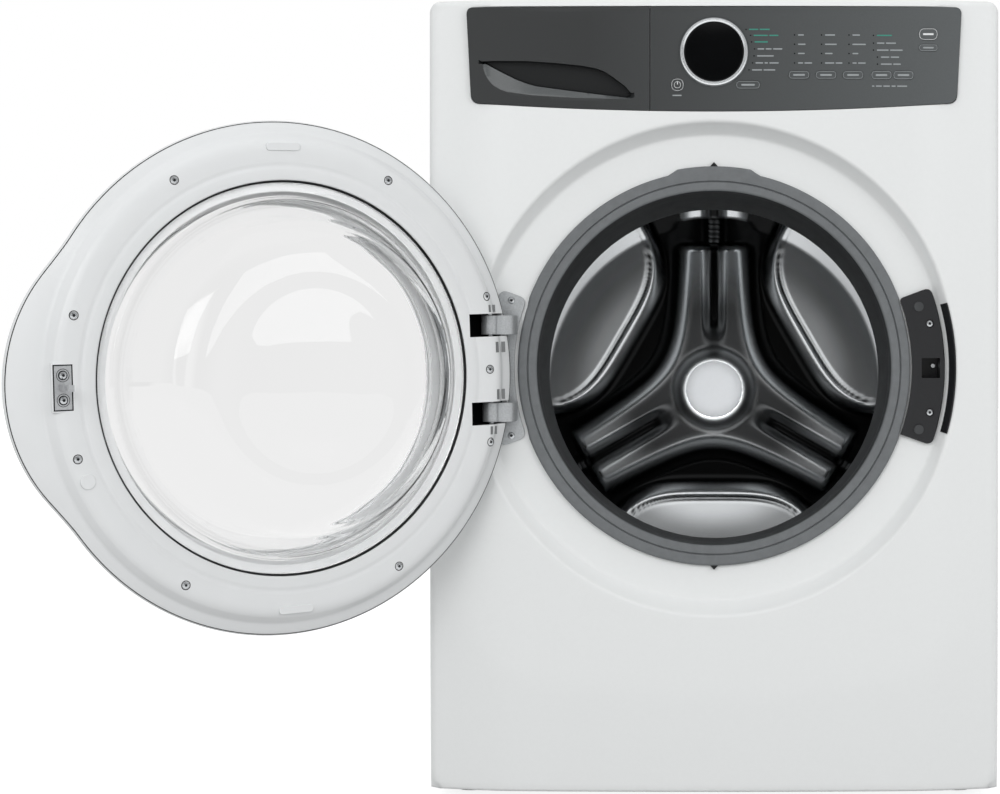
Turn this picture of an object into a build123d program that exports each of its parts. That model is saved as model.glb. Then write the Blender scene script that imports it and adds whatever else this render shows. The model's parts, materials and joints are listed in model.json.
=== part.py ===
from build123d import *
import os
from math import cos, radians, sin

os.makedirs("parts", exist_ok=True)

# Frame: X to the right as seen from the front, Y to the back, Z up.
# The origin is on the floor, in the middle of the four feet. Millimetres.

# Cabinet
HALF_W = 343.0
BASE_Z = 15.0
TOP_Z = 965.0
SIDE_Y = -380.0
REAR_Y = 368.0
SHEET = 1.6
BOW_Y = SIDE_Y - 16.0
PAD_Y = SIDE_Y - 20.0
PAD_EDGE_Y = SIDE_Y - 14.0
PAD_HALF_W = 298.0
PAD_LOW_Z = 131.0
PAD_CORNER_R = 78.0
PAD_SLOPE = 32.0
PAN_BACK_Y = -352.0
LID_Z = 940.0
CORNER_R = 16.0

# Round recess, door and drum share one centre height
CENTRE_Z = 523.5
FLOOR_Y = -374.0
RECESS_R = 295.5
RECESS_FLOOR_R = 281.0
MOUTH_R = 226.0
TAB_ARC = 26.0

# Drum and tub, measured along their own tilted axis from the recess floor
TILT = 4.6
TUB_R = 301.0
TUB_WALL = 5.0
TUB_FRONT_A = 100.0
TUB_SPLIT_A = 331.0
TUB_BACK_A = 566.0
TUB_WALL_BACK = 6.0
TUB_FLANGE_R = 312.0
COLLAR_R = 222.0
DRUM_R = 278.0
DRUM_SHEET = 1.5
DRUM_MOUTH_R = 206.0
DRUM_FRONT_A = 118.0
DRUM_BACK_A = 532.0
WEB_RISE = 14.0
HUB_CAP_R = 42.0
LIFTER_TIP_R = 246.0
ARM_ANGLES = (90, 210, 330)
LOBE_ANGLES = (30, 150, 270)
SHAFT_R = 15.0
SHAFT_TAIL_R = 12.5
RUN_GAP = 0.05
FRONT_BEARING = (36.0, 584.0, 603.0)
REAR_BEARING = (31.0, 633.0, 650.0)
PULLEY_R = 140.0
PULLEY_A = (660.0, 678.0)
MOTOR_REACH = 367.0
MOTOR_ANGLE = 255.0
MOTOR_R = 55.0
MOTOR_SHAFT_R = 8.0
MOTOR_PULLEY_R = 10.5
BELT_T = 3.0
BELT_GAP = 0.3

# Door, drawn closed and then swung open about its hinge
HINGE_X = -266.65
HINGE_Y = -408.65
HINGE_LEAN = 0.84
OPEN_ANGLE = 147.5
DOOR_R = 291.2
DOOR_RIM_Y = -405.0
DOOR_FRONT_Y = -435.0
DOOR_SKIN = 3.0
GRIP_X = 125.0
GRIP_R = 192.6
RING_Y = -383.0
GLASS_R = 220.2
GLASS_T = 5.0
BOWL_END_Y = -300.0
WINDOW_R = 197.0
ARM_Z = 52.0
ARM_H = 23.0
ARM_END_X = -236.5
EYE_R = 10.0
PIN_R = 4.0
SCREW_RING_R = 257.0
SCREW_SINK = 1.4
STRIKE_X = 259.0
STRIKE_T = 1.6
STRIKE_HALF = (10.3, 24.4)
STRIKE_SCREW_DZ = 13.4
BUMP_R = 260.5
CAP_X = 234.7
CAP_DZ = -102.0

# Control panel
CONSOLE_HALF_W = 297.5
CONSOLE_TOP_Z = 956.5
CONSOLE_END_Z = 841.0
CONSOLE_MID_Z = 830.5
CONSOLE_SPLIT_X = -76.6
CONSOLE_T = 3.5
CONSOLE_GAP = 0.7
DISPLAY_Z = 902.0
BEZEL_R = 42.0
LENS_R = 35.6
BUTTON_GAP = 0.35
BUTTON_PROUD = 0.5
BUTTON_L = 6.5
BUTTONS = {
    "button_power": (-43.7, 862.5, 15.6, 15.6),
    "button_cycles": (40.7, 862.5, 28.7, 9.6),
    "button_temp": (101.7, 874.4, 25.0, 9.6),
    "button_soil": (134.0, 874.4, 25.0, 9.6),
    "button_spin": (166.3, 874.4, 25.0, 9.6),
    "button_options": (200.4, 874.4, 24.6, 10.4),
    "button_select": (226.7, 874.4, 24.6, 10.4),
    "button_start": (256.6, 923.5, 22.7, 14.4),
    "button_cancel": (256.6, 907.3, 22.7, 8.4),
}

# Circuit board: each component's X, Z, width, height and depth
BOARD_T = 1.6
BOARD_PARTS = (
    (-30, 900, 30, 40, 14),
    (60, 915, 44, 30, 22),
    (140, 880, 60, 26, 10),
    (230, 910, 36, 46, 18),
)

# Detergent drawer
DRAWER_FRONT_BACK_Y = -382.0
TRAY_X = (-284.0, -89.0)
TRAY_Z = (858.0, 925.0)
TRAY_BACK_Y = -128.0
TRAY_WALL = 2.2
HOUSING_GAP = 3.0
HOUSING_WALL = 2.5

# Base tray and rear vents
TRAY_LIP = 44.0
RIB_X = (-225.0, 0.0, 290.0)
RIB_HALF_W = 6.0
RIB_H = 8.0
VENT_X = -180.0
VENT_Z = 700.0
VENT_STEP = 16.0
VENT_L = 120.0
VENT_H = 6.0
VENT_COUNT = 6

# Feet and other fittings
FOOT_X = 300.0
FOOT_Y = 280.0
FOOT_R = 20.0
FOOT_PAD_H = 11.0
STEM_R = 6.0
SCREW_HEAD_R = 4.2
SCREW_HEAD_H = 2.2
SCREW_SHANK_R = 2.0
SCREW_LEN = 7.0
DAMPER_X = 165.0
DAMPER_Y = -110.0
DAMPER_ROD_R = 6.0
DAMPER_BODY_R = 16.0
DAMPER_TOP_Z = 236.0
SPRING_X = 230.0
SPRING_Y = -50.0
SPRING_R = 13.0
SPRING_WIRE_R = 2.2
SPRING_LOW_Z = 742.0
BRACKET_Z = 898.0
FILL_HOSE_R = 9.0
FILL_X = (-160.0, -105.0)
FILL_Z = 915.0
INLET_X = (190.0, 250.0)
INLET_Z = 885.0
INLET_R = 13.3
INLET_LEN = 20.0
OUTLET_X = 300.0
OUTLET_Z = 700.0
RISER_Y = 318.0
OUTLET_R = 12.0
OUTLET_LEN = 24.0
GLAND_X = -250.0
GLAND_Z = 880.0
GLAND_BORE_R = 5.0
GLAND_L = 28.0
COVER_R = 178.0
COVER_Z = 470.0
DRIP_HOSE_X = -200.0
DRIP_HOSE_Y = -176.0
DRIP_LOW_Z = 760.0
DRIP_R = 22.0
DRIP_FOLD_R = 27.0
DRIP_FOLDS = 8
DRIP_CUFF = 14.0
HOSE_WALL = 3.2
SUMP_Y = -180.0
SUMP_TOP_Z = 192.0
SUMP_HOSE_R = 20.0
PUMP_X = 205.0
PUMP_Y = -250.0
PUMP_Z = 75.0
PUMP_R = 36.0

TUB_LOC = Pos(0, FLOOR_Y, CENTRE_Z) * Rot(-TILT, 0, 0)
HINGE = Pos(HINGE_X, HINGE_Y, CENTRE_Z) * Rot(0, -HINGE_LEAN, 0)
DOOR_OPEN = HINGE * Rot(0, 0, -OPEN_ANGLE) * HINGE.inverse()
CENTRE = Pos(0, 0, CENTRE_Z)


def box(x, y, z):
    """A box between two X, two Y and two Z values."""
    size = (x[1] - x[0], y[1] - y[0], z[1] - z[0])
    middle = ((x[0] + x[1]) / 2, (y[0] + y[1]) / 2, (z[0] + z[1]) / 2)
    return Pos(*middle) * Box(*size)


def turned(points, arc=360.0):
    """A ring about the Y axis from a closed outline of (radius, y)."""
    return revolve(make_face(Polyline(*points, close=True)), Axis.Y, arc)


def turned_curve(curve, rest, arc=360.0):
    """A ring about the Y axis, with a smooth curve and a straight-sided rest."""
    lines = Polyline(curve[-1], *rest, curve[0])
    return revolve(make_face(Spline(*curve) + lines), Axis.Y, arc)


def rod_y(radius, x, z, y):
    """A round bar along Y."""
    bar = Rot(-90, 0, 0) * Cylinder(radius, y[1] - y[0])
    return Pos(x, (y[0] + y[1]) / 2, z) * bar


def rod_z(radius, x, y, z):
    """A round bar along Z."""
    return Pos(x, y, (z[0] + z[1]) / 2) * Cylinder(radius, z[1] - z[0])


def front_sketch(sketch, depth_y, length, taper=0.0):
    """A sketch in X and Z, pushed out to the front from one Y."""
    return extrude(Plane.XZ.offset(-depth_y) * sketch, amount=length, taper=taper)


def sector(inner_r, outer_r, middle, half, corner):
    """A flat ring sector in X and Z with rounded corners, angles in degrees."""
    lo, hi = radians(middle - half), radians(middle + half)
    mid = radians(middle)
    outer = [(outer_r * cos(a), outer_r * sin(a)) for a in (lo, mid, hi)]
    inner = [(inner_r * cos(a), inner_r * sin(a)) for a in (hi, mid, lo)]
    lines = ThreePointArc(*outer) + Line(outer[2], inner[0])
    lines = lines + ThreePointArc(*inner) + Line(inner[2], outer[0])
    face = make_face(lines)
    return fillet(face.vertices(), corner)


def bowed_block(half_w, side_y, mid_y, back_y, z):
    """A block whose front is bowed, higher in the middle than at its sides."""
    arc = ThreePointArc((-half_w, side_y), (0, mid_y), (half_w, side_y))
    rest = Polyline((half_w, side_y), (half_w, back_y), (-half_w, back_y), (-half_w, side_y))
    face = make_face(arc + rest)
    return Pos(0, 0, z[0]) * extrude(face, amount=z[1] - z[0], dir=(0, 0, 1))


def pad_y(x):
    """Where the raised front surface is at one X."""
    return PAD_Y + (PAD_EDGE_Y - PAD_Y) * (x / PAD_HALF_W) ** 2


def console_outline(inset):
    """The control panel's outline: straight top, bowed lower edge."""
    w = CONSOLE_HALF_W
    lower = ThreePointArc((-w + 6, CONSOLE_END_Z), (0, CONSOLE_MID_Z), (w - 6, CONSOLE_END_Z))
    rest = Polyline(
        (w - 6, CONSOLE_END_Z),
        (w, CONSOLE_TOP_Z),
        (-w, CONSOLE_TOP_Z),
        (-w + 6, CONSOLE_END_Z),
    )
    face = make_face(lower + rest)
    face = fillet(face.vertices().group_by(Axis.Y)[0], 12)
    face = fillet(face.vertices().group_by(Axis.Y)[-1], 8)
    return offset(face, amount=-inset) if inset else face


def screw_at(x, y, z, turn):
    """A pan-head screw whose head's seat is at the given point, facing -Y before turning."""
    head = turned([(0, -SCREW_HEAD_H), (2.8, -SCREW_HEAD_H), (SCREW_HEAD_R, -0.9),
                   (SCREW_HEAD_R, 0), (SCREW_SHANK_R, 0), (SCREW_SHANK_R, SCREW_LEN), (0, SCREW_LEN)])
    slot = box((-2.2, 2.2), (-SCREW_HEAD_H - 1, -SCREW_HEAD_H + 1.1), (-0.5, 0.5))
    head = head - slot - Rot(0, 90, 0) * slot
    return Pos(x, y, z) * Rot(0, 0, turn) * head


def screw_hole(x, y, z, reach=14.0):
    """A clearance hole along Y for one screw."""
    return rod_y(SCREW_SHANK_R + 0.15, x, z, (y - reach, y + reach))


def together(shapes):
    """Separate solids kept in one node."""
    return Compound(children=list(shapes))


# Fastener places
HINGE_SCREWS = [(-244.0, CENTRE_Z + 81.5), (-244.0, CENTRE_Z - 81.5)]
LOCK_SCREWS = [(259.8, CENTRE_Z + 53.5), (259.8, CENTRE_Z - 53.5)]
COVER_SCREWS = [
    ((COVER_R - 8) * cos(radians(a)), COVER_Z + (COVER_R - 8) * sin(radians(a)))
    for a in range(30, 390, 60)
]
REAR_SCREWS = [(x, z) for x in (-325.0, 325.0) for z in (80.0, 350.0, 640.0, 920.0)]
DOOR_SCREWS = [
    (SCREW_RING_R * cos(radians(a)), CENTRE_Z + SCREW_RING_R * sin(radians(a)))
    for a in (17.5, 60, 120, 240, 300, 342.5)
] + [(-253.0, CENTRE_Z), (-252.5, CENTRE_Z + 86), (-252.5, CENTRE_Z - 86)]
STRIKE_SCREWS = [(STRIKE_X, CENTRE_Z + STRIKE_SCREW_DZ), (STRIKE_X, CENTRE_Z - STRIKE_SCREW_DZ)]


# Cabinet shell

def front_panel():
    """The bowed pan with its raised pad, round recess, mouth and console opening."""
    outer = bowed_block(HALF_W, SIDE_Y, BOW_Y, PAN_BACK_Y, (BASE_Z, TOP_Z))
    corners = outer.edges().filter_by(Axis.Y).group_by(Axis.Z)[-1]
    outer = fillet(corners, CORNER_R)
    outer = fillet(outer.edges().filter_by(Axis.Z).group_by(Axis.Y)[0], 9)
    inner = bowed_block(
        HALF_W - SHEET, SIDE_Y + SHEET, BOW_Y + SHEET, PAN_BACK_Y + 20, (BASE_Z + SHEET, TOP_Z - SHEET)
    )
    corners = inner.edges().filter_by(Axis.Y).group_by(Axis.Z)[-1]
    inner = fillet(corners, CORNER_R - SHEET)
    tall = 2 * (TOP_Z - PAD_LOW_Z)
    shape = Pos(0, PAD_LOW_Z + tall / 2) * RectangleRounded(2 * PAD_HALF_W, tall, PAD_CORNER_R)
    pad = front_sketch(shape, SIDE_Y, 30, PAD_SLOPE)
    pad = pad & bowed_block(PAD_HALF_W, PAD_EDGE_Y, PAD_Y, 0, (0, TOP_Z))
    small = Pos(0, PAD_LOW_Z + tall / 2) * RectangleRounded(
        2 * (PAD_HALF_W - SHEET), tall - 2 * SHEET, PAD_CORNER_R - SHEET
    )
    hollow = front_sketch(small, SIDE_Y + SHEET, 30, PAD_SLOPE)
    limit = bowed_block(PAD_HALF_W, PAD_EDGE_Y + SHEET, PAD_Y + SHEET, 0, (0, TOP_Z - SHEET))
    hollow = hollow & limit
    solid = outer + pad
    shell = solid - inner - hollow
    slope = (RECESS_R - RECESS_FLOOR_R) / (FLOOR_Y - PAD_Y)
    lip_r = RECESS_R + slope * 12
    dish = CENTRE * turned([
        (MOUTH_R, FLOOR_Y), (RECESS_FLOOR_R, FLOOR_Y), (lip_r, PAD_Y - 12),
        (lip_r + SHEET, PAD_Y - 12), (RECESS_FLOOR_R + SHEET, FLOOR_Y + SHEET), (MOUTH_R, FLOOR_Y + SHEET),
    ])
    void = CENTRE * turned([
        (0, FLOOR_Y + 60), (MOUTH_R, FLOOR_Y + 60), (MOUTH_R, FLOOR_Y),
        (RECESS_FLOOR_R, FLOOR_Y), (lip_r, PAD_Y - 12), (0, PAD_Y - 12),
    ])
    panel = shell + (dish & solid)
    panel = panel - void
    panel = panel - front_sketch(console_outline(0), SIDE_Y + 20, 60)
    panel = panel - box((246, 276), (FLOOR_Y - 4, FLOOR_Y + 6), (CENTRE_Z - 19, CENTRE_Z + 19))
    for x, z in HINGE_SCREWS + LOCK_SCREWS:
        panel = panel - screw_hole(x, FLOOR_Y, z)
    return panel


def side_panel(sign):
    """A side sheet with return flanges and a bracket for the suspension spring."""
    x_in = HALF_W - SHEET
    y = (PAN_BACK_Y + 0.5, REAR_Y)
    z = (BASE_Z, LID_Z - 0.5)
    panel = box((x_in, HALF_W), y, z)
    panel = panel + box((x_in - 16, x_in), y, (z[1] - SHEET, z[1]))
    panel = panel + box((x_in - 16, x_in), (y[0], y[0] + SHEET), z)
    panel = panel + box((SPRING_X - 18, x_in), (SPRING_Y - 12, SPRING_Y + 12), (BRACKET_Z, BRACKET_Z + 4))
    panel = panel + box((x_in - 4, x_in), (SPRING_Y - 12, SPRING_Y + 12), (BRACKET_Z - 40, BRACKET_Z))
    return panel if sign > 0 else mirror(panel, Plane.YZ)


def top_panel():
    """The lid, a shallow tray turned upside down."""
    y = (PAN_BACK_Y + 0.5, REAR_Y)
    lid = box((-HALF_W, HALF_W), y, (LID_Z, TOP_Z))
    corners = lid.edges().filter_by(Axis.Y).group_by(Axis.Z)[-1]
    lid = fillet(corners, CORNER_R)
    inner_x = (-HALF_W + SHEET, HALF_W - SHEET)
    inside = box(inner_x, (y[0] + SHEET, y[1] - SHEET), (LID_Z - 1, TOP_Z - SHEET))
    corners = inside.edges().filter_by(Axis.Y).group_by(Axis.Z)[-1]
    return lid - fillet(corners, CORNER_R - SHEET)


def rear_panel():
    """The back sheet with its access hole, vents and fitting holes."""
    y = (REAR_Y - SHEET, REAR_Y)
    w = HALF_W - SHEET - 0.4
    sheet = box((-w, w), y, (BASE_Z + 4, LID_Z - 3))
    sheet = sheet + box((-w, w), (REAR_Y - 14, y[0]), (LID_Z - 5, LID_Z - 3))
    sheet = sheet - rod_y(COVER_R - 18, 0, COVER_Z, (y[0] - 5, y[1] + 5))
    for x in INLET_X:
        sheet = sheet - rod_y(INLET_R + 2, x, INLET_Z, (y[0] - 5, y[1] + 5))
    sheet = sheet - rod_y(OUTLET_R + 1, OUTLET_X, OUTLET_Z, (y[0] - 5, y[1] + 5))
    sheet = sheet - rod_y(9.2, GLAND_X, GLAND_Z, (y[0] - 5, y[1] + 5))
    for i in range(VENT_COUNT):
        slot = Pos(VENT_X, VENT_Z + VENT_STEP * i) * SlotOverall(VENT_L, VENT_H)
        sheet = sheet - front_sketch(slot, y[1] + 5, 20)
    for x, z in COVER_SCREWS + REAR_SCREWS:
        sheet = sheet - screw_hole(x, REAR_Y, z)
    return sheet


def rear_access_cover():
    """The round plate over the drive, with one pressed ring."""
    plate = Pos(0, 0, COVER_Z) * turned([
        (0, REAR_Y), (COVER_R, REAR_Y), (COVER_R, REAR_Y + 1.5), (135, REAR_Y + 1.5),
        (129, REAR_Y + 7.5), (111, REAR_Y + 7.5), (105, REAR_Y + 1.5), (0, REAR_Y + 1.5),
    ])
    groove = Pos(0, 0, COVER_Z) * turned([
        (108, REAR_Y - 1), (132, REAR_Y - 1), (127.5, REAR_Y + 5.8), (112.5, REAR_Y + 5.8),
    ])
    plate = plate - groove
    for x, z in COVER_SCREWS:
        plate = plate - screw_hole(x, REAR_Y, z)
    return plate


def base_tray():
    """The floor pan with upturned edges and holes for the feet."""
    x = (-HALF_W + SHEET + 0.4, HALF_W - SHEET - 0.4)
    y = (PAN_BACK_Y + SHEET + 1, REAR_Y - SHEET - 0.5)
    tray = box(x, y, (BASE_Z, BASE_Z + TRAY_LIP))
    inner_x = (x[0] + SHEET, x[1] - SHEET)
    inner_y = (y[0] + SHEET, y[1] - SHEET)
    tray = tray - box(inner_x, inner_y, (BASE_Z + SHEET, BASE_Z + TRAY_LIP + 1))
    for rib_x in RIB_X:
        rib = box((rib_x - RIB_HALF_W, rib_x + RIB_HALF_W), y, (BASE_Z + 1, BASE_Z + 1 + RIB_H))
        tray = tray + rib
    for sx in (-1, 1):
        for sy in (-1, 1):
            tray = tray - rod_z(STEM_R + 0.4, sx * FOOT_X, sy * FOOT_Y, (BASE_Z - 5, BASE_Z + 30))
    return tray


def levelling_feet():
    """Four screw feet: a round pad, a nut face and a stem."""
    foot = rod_z(FOOT_R, 0, 0, (0, FOOT_PAD_H))
    nut = extrude(RegularPolygon(11, 6), amount=BASE_Z - FOOT_PAD_H)
    foot = foot + Pos(0, 0, FOOT_PAD_H) * nut
    foot = foot + rod_z(STEM_R, 0, 0, (FOOT_PAD_H, 48))
    return together(
        Pos(sx * FOOT_X, sy * FOOT_Y, 0) * foot for sx in (-1, 1) for sy in (-1, 1)
    )


def cabinet_screws():
    """Every equal screw on the cabinet: hinge plate, lock and rear."""
    front = [screw_at(x, FLOOR_Y - 3.0, z, 0) for x, z in HINGE_SCREWS]
    front += [screw_at(x, FLOOR_Y - 4.0, z, 0) for x, z in LOCK_SCREWS]
    back = [screw_at(x, REAR_Y + 1.5, z, 180) for x, z in COVER_SCREWS]
    back += [screw_at(x, REAR_Y, z, 180) for x, z in REAR_SCREWS]
    return together(front + back)


# Recess fittings

def gasket():
    """The rubber bellows from the recess to the tub, its rear end on the tilted axis."""
    groove_r, bead_r, sleeve_r = 224.5, 238, MOUTH_R - 0.3
    bead = [
        (213, -379.5), (215, -381.5), (groove_r - 1.3, -381.5), (groove_r, -379.0), (groove_r + 1.3, -381.5),
        (bead_r - 2.5, -381.5), (bead_r, -379.0), (bead_r, FLOOR_Y - 0.1), (sleeve_r, FLOOR_Y - 0.1),
    ]
    clip = [(sleeve_r, FLOOR_Y + SHEET + 0.1), (234, FLOOR_Y + SHEET + 0.1), (234, -367), (sleeve_r, -367)]
    sleeve = [(sleeve_r, -260), (219, -260), (219, -368), (213, -371)]
    front = CENTRE * turned(bead + clip + sleeve)
    front = front - TUB_LOC * box((-400, 400), (64, 400), (-400, 400))
    tab = turned([(236, -380.5), (243, -379), (243, FLOOR_Y - 0.1), (236, FLOOR_Y - 0.1)], TAB_ARC)
    front = front + CENTRE * Rot(0, -90 - TAB_ARC / 2, 0) * tab
    rear = TUB_LOC * turned([
        (212, 58), (236, 58), (236, 98), (COLLAR_R + 6.3, 98), (COLLAR_R + 6.3, 76), (COLLAR_R - 3, 82),
        (208.5, 108.5), (205, 107.5), (212, 72),
    ])
    return front + rear


def lock_housing():
    """The black cover on the latch side with its slot, bumps and hidden body."""
    plate = CENTRE * front_sketch(sector(240.5, 278, 0, 19.6, 8), FLOOR_Y - 0.1, 5.9)
    plate = chamfer(plate.faces().sort_by(Axis.Y)[0].outer_wire().edges(), 1.2)
    body = box((247, 275), (FLOOR_Y - 1, -330), (CENTRE_Z - 18, CENTRE_Z + 18))
    lock = plate + body
    lock = lock - box((250, 272), (FLOOR_Y - 20, -340), (CENTRE_Z - 12, CENTRE_Z + 12))
    for dz in (-74.0, 74.0):
        lock = lock + rod_y(6, 246.5, CENTRE_Z + dz, (FLOOR_Y - 7.5, FLOOR_Y - 3))
    for x, z in LOCK_SCREWS:
        lock = lock - rod_y(5.4, x, z, (FLOOR_Y - 10, FLOOR_Y - 4.0))
        lock = lock - screw_hole(x, FLOOR_Y, z)
    return lock


def finger_pocket():
    """The black strip on the sloped recess wall behind the door's grip."""
    slope = (RECESS_R - RECESS_FLOOR_R) / (FLOOR_Y - PAD_Y)
    low_y, high_y = -380.0, -391.0
    low_r = RECESS_FLOOR_R + slope * (FLOOR_Y - low_y) - 0.1
    high_r = RECESS_FLOOR_R + slope * (FLOOR_Y - high_y) - 0.1
    strip = turned([(low_r, low_y), (high_r, high_y), (high_r - 1.6, high_y), (low_r - 1.6, low_y)], 31.4)
    return CENTRE * Rot(0, -15.7, 0) * strip


def hinge_plate():
    """The fixed hinge: a curved plate and two gooseneck arms with eyes."""
    plate = CENTRE * front_sketch(sector(240.5, 274, 180, 20.3, 10), FLOOR_Y - 0.05, 2.95)
    for dz in (-ARM_Z, ARM_Z):
        z = (CENTRE_Z + dz - ARM_H / 2, CENTRE_Z + dz + ARM_H / 2)
        arm = HINGE * rod_z(EYE_R, 0, 0, (dz - ARM_H / 2, dz + ARM_H / 2))
        arm = arm + box((HINGE_X, ARM_END_X), (HINGE_Y - 4, HINGE_Y + 4), z)
        arm = arm + box((ARM_END_X - 7, ARM_END_X), (HINGE_Y, FLOOR_Y - 2), z)
        front_corner = arm.edges().filter_by(Axis.Z).group_by(Axis.X)[-1].sort_by(Axis.Y)[0]
        arm = fillet(front_corner, 7)
        bore = rod_z(PIN_R + RUN_GAP, 0, 0, (dz - ARM_H, dz + ARM_H))
        plate = plate + arm - HINGE * bore
    for x, z in HINGE_SCREWS:
        plate = plate - screw_hole(x, FLOOR_Y, z)
    return plate


# Control panel

def console_slab(inset, thickness):
    """A curved slab of the control panel's outline at the front surface."""
    block = front_sketch(console_outline(inset), SIDE_Y + 20, 60)
    front = bowed_block(PAD_HALF_W, PAD_EDGE_Y, PAD_Y, 0, (0, TOP_Z))
    back = bowed_block(PAD_HALF_W, PAD_EDGE_Y + thickness, PAD_Y + thickness, 10, (0, TOP_Z))
    return (block & front) - back


def pill(w, h, grow=0.0):
    """A rounded button face."""
    if abs(w - h) < 0.01:
        return Circle(w / 2 + grow)
    return SlotOverall(w + 2 * grow, h + 2 * grow)


def console_panel():
    """The dark fascia right of the drawer, with holes for display and buttons."""
    slab = console_slab(CONSOLE_GAP, CONSOLE_T)
    slab = slab & box((CONSOLE_SPLIT_X + CONSOLE_GAP / 2, 400), (-450, -300), (700, 1000))
    slab = slab - rod_y(BEZEL_R + 0.2, 0, DISPLAY_Z, (-450, -300))
    for x, z, w, h in BUTTONS.values():
        slab = slab - Pos(x, 0, z) * front_sketch(pill(w, h, BUTTON_GAP), -360, 80)
    return slab


def button(name):
    """One push button, its face just proud of the fascia."""
    x, z, w, h = BUTTONS[name]
    face_y = pad_y(x) - BUTTON_PROUD
    body = front_sketch(pill(w, h), face_y + BUTTON_L, BUTTON_L)
    rim = body.faces().sort_by(Axis.Y)[0].outer_wire().edges()
    return Pos(x, 0, z) * chamfer(rim, 0.3)


def display_bezel():
    """The polished ring round the display."""
    inner, outer = LENS_R + 0.2, BEZEL_R
    ring = turned([
        (inner, PAD_Y + 9),
        (inner, PAD_Y - 2),
        (inner + 2, PAD_Y - 5),
        (outer - 1.5, PAD_Y - 4.4),
        (outer, PAD_Y - 2),
        (outer, PAD_Y + 9),
    ])
    return Pos(0, 0, DISPLAY_Z) * ring


def display_lens():
    """The dark round window of the display."""
    lens = turned([
        (0, PAD_Y - 2.6),
        (LENS_R - 1, PAD_Y - 2),
        (LENS_R, PAD_Y - 1),
        (LENS_R, PAD_Y + 4),
        (0, PAD_Y + 4),
    ])
    return Pos(0, 0, DISPLAY_Z) * lens


def control_board():
    """The circuit board behind the fascia with a few plain components."""
    back = SIDE_Y + BOARD_T
    board = box((-58, 280), (SIDE_Y, back), (850, 945))
    for x, z, w, h, d in BOARD_PARTS:
        board = board + box((x - w / 2, x + w / 2), (back - 0.5, back + d), (z - h / 2, z + h / 2))
    return board


# Detergent drawer

def scoop_outline():
    """The finger scoop's leaf shape on the drawer front."""
    top = Spline((-279, 893), (-236, 891), (-160, 884), (-100, 850))
    low = Spline((-100, 850), (-170, 845.5), (-238, 851), (-279, 893))
    return make_face(top + low)


def drawer_front():
    """The dark drawer front with its scooped grip."""
    slab = front_sketch(console_outline(CONSOLE_GAP), DRAWER_FRONT_BACK_Y, 40)
    slab = slab & bowed_block(PAD_HALF_W, PAD_EDGE_Y, PAD_Y, 0, (0, TOP_Z))
    slab = slab & box((-400, CONSOLE_SPLIT_X - CONSOLE_GAP / 2), (-450, -300), (700, 1000))
    return slab - front_sketch(scoop_outline(), DRAWER_FRONT_BACK_Y - 3, 40)


def drawer_tray():
    """The sliding tray with three compartments."""
    t = TRAY_WALL
    y = (DRAWER_FRONT_BACK_Y, TRAY_BACK_Y)
    tray = box(TRAY_X, y, TRAY_Z)
    split_x = (TRAY_X[0] + 118, TRAY_X[0] + 118 + t)
    split_y = (y[1] - 92, y[1] - 92 + t)
    top = TRAY_Z[1] + 5
    floor = TRAY_Z[0] + t
    main = box((TRAY_X[0] + t, split_x[0]), (y[0] + t, y[1] - t), (floor, top))
    side = box((split_x[1], TRAY_X[1] - t), (y[0] + t, split_y[0]), (floor, top))
    rear = box((split_x[1], TRAY_X[1] - t), (split_y[1], y[1] - t), (floor, top))
    return tray - main - side - rear


def dispenser_housing():
    """The open-fronted box that the drawer runs in, with its outlet stub."""
    g, t = HOUSING_GAP, HOUSING_WALL
    x = (TRAY_X[0] - g - t, TRAY_X[1] + g + t)
    z = (TRAY_Z[0] - g - t, TRAY_Z[1] + 8 + t)
    y = (-376, TRAY_BACK_Y + 6 + t)
    case = box(x, y, z)
    case = case - box((x[0] + t, x[1] - t), (y[0] - 1, y[1] - t), (z[0] + t, z[1] - t))
    case = case + rod_z(18.6, DRIP_HOSE_X, DRIP_HOSE_Y, (z[0] - 18, z[0] + 1))
    case = case - rod_z(15.5, DRIP_HOSE_X, DRIP_HOSE_Y, (z[0] - 20, z[0] + t + 0.5))
    for hx in FILL_X:
        case = case + rod_y(FILL_HOSE_R - 2.7, hx, FILL_Z, (y[1] - 1, y[1] + 16))
        case = case - rod_y(FILL_HOSE_R - 4.5, hx, FILL_Z, (y[1] - t - 1, y[1] + 20))
    return case


# Water path

def tube(points, outer, inner, bend):
    """A hose along straight runs joined by round bends."""
    path = FilletPolyline(*points, radius=bend)
    start = Plane(origin=path @ 0, z_dir=path % 0)
    return sweep(start * Circle(outer), path=path) - sweep(start * Circle(inner), path=path)


def inlet_valve():
    """The twin inlet valve with two hose spigots through the rear."""
    x = (INLET_X[0] - 22, INLET_X[1] + 22)
    valve = box(x, (REAR_Y - 36, REAR_Y - SHEET - 0.1), (INLET_Z - 22, INLET_Z + 22))
    for x in INLET_X:
        valve = valve + rod_y(INLET_R, x, INLET_Z, (REAR_Y - 10, REAR_Y + INLET_LEN))
        valve = valve - rod_y(8, x, INLET_Z, (REAR_Y - 20, REAR_Y + INLET_LEN + 1))
        valve = valve + rod_y(FILL_HOSE_R - 2.7, x, INLET_Z, (REAR_Y - 54, REAR_Y - 30))
        valve = valve - rod_y(FILL_HOSE_R - 4.5, x, INLET_Z, (REAR_Y - 56, REAR_Y - 15))
    return valve


def fill_hoses():
    """Two hoses from the valve to the dispenser."""
    back_y = TRAY_BACK_Y + 6 + HOUSING_WALL
    hoses = []
    for valve_x, end_x in zip(INLET_X, FILL_X):
        points = [
            (valve_x, REAR_Y - 37, INLET_Z),
            (valve_x, 250, INLET_Z),
            (end_x, 60, FILL_Z),
            (end_x, back_y + 1, FILL_Z),
        ]
        hoses.append(tube(points, FILL_HOSE_R, FILL_HOSE_R - 2.6, 40))
    return together(hoses)


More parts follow.
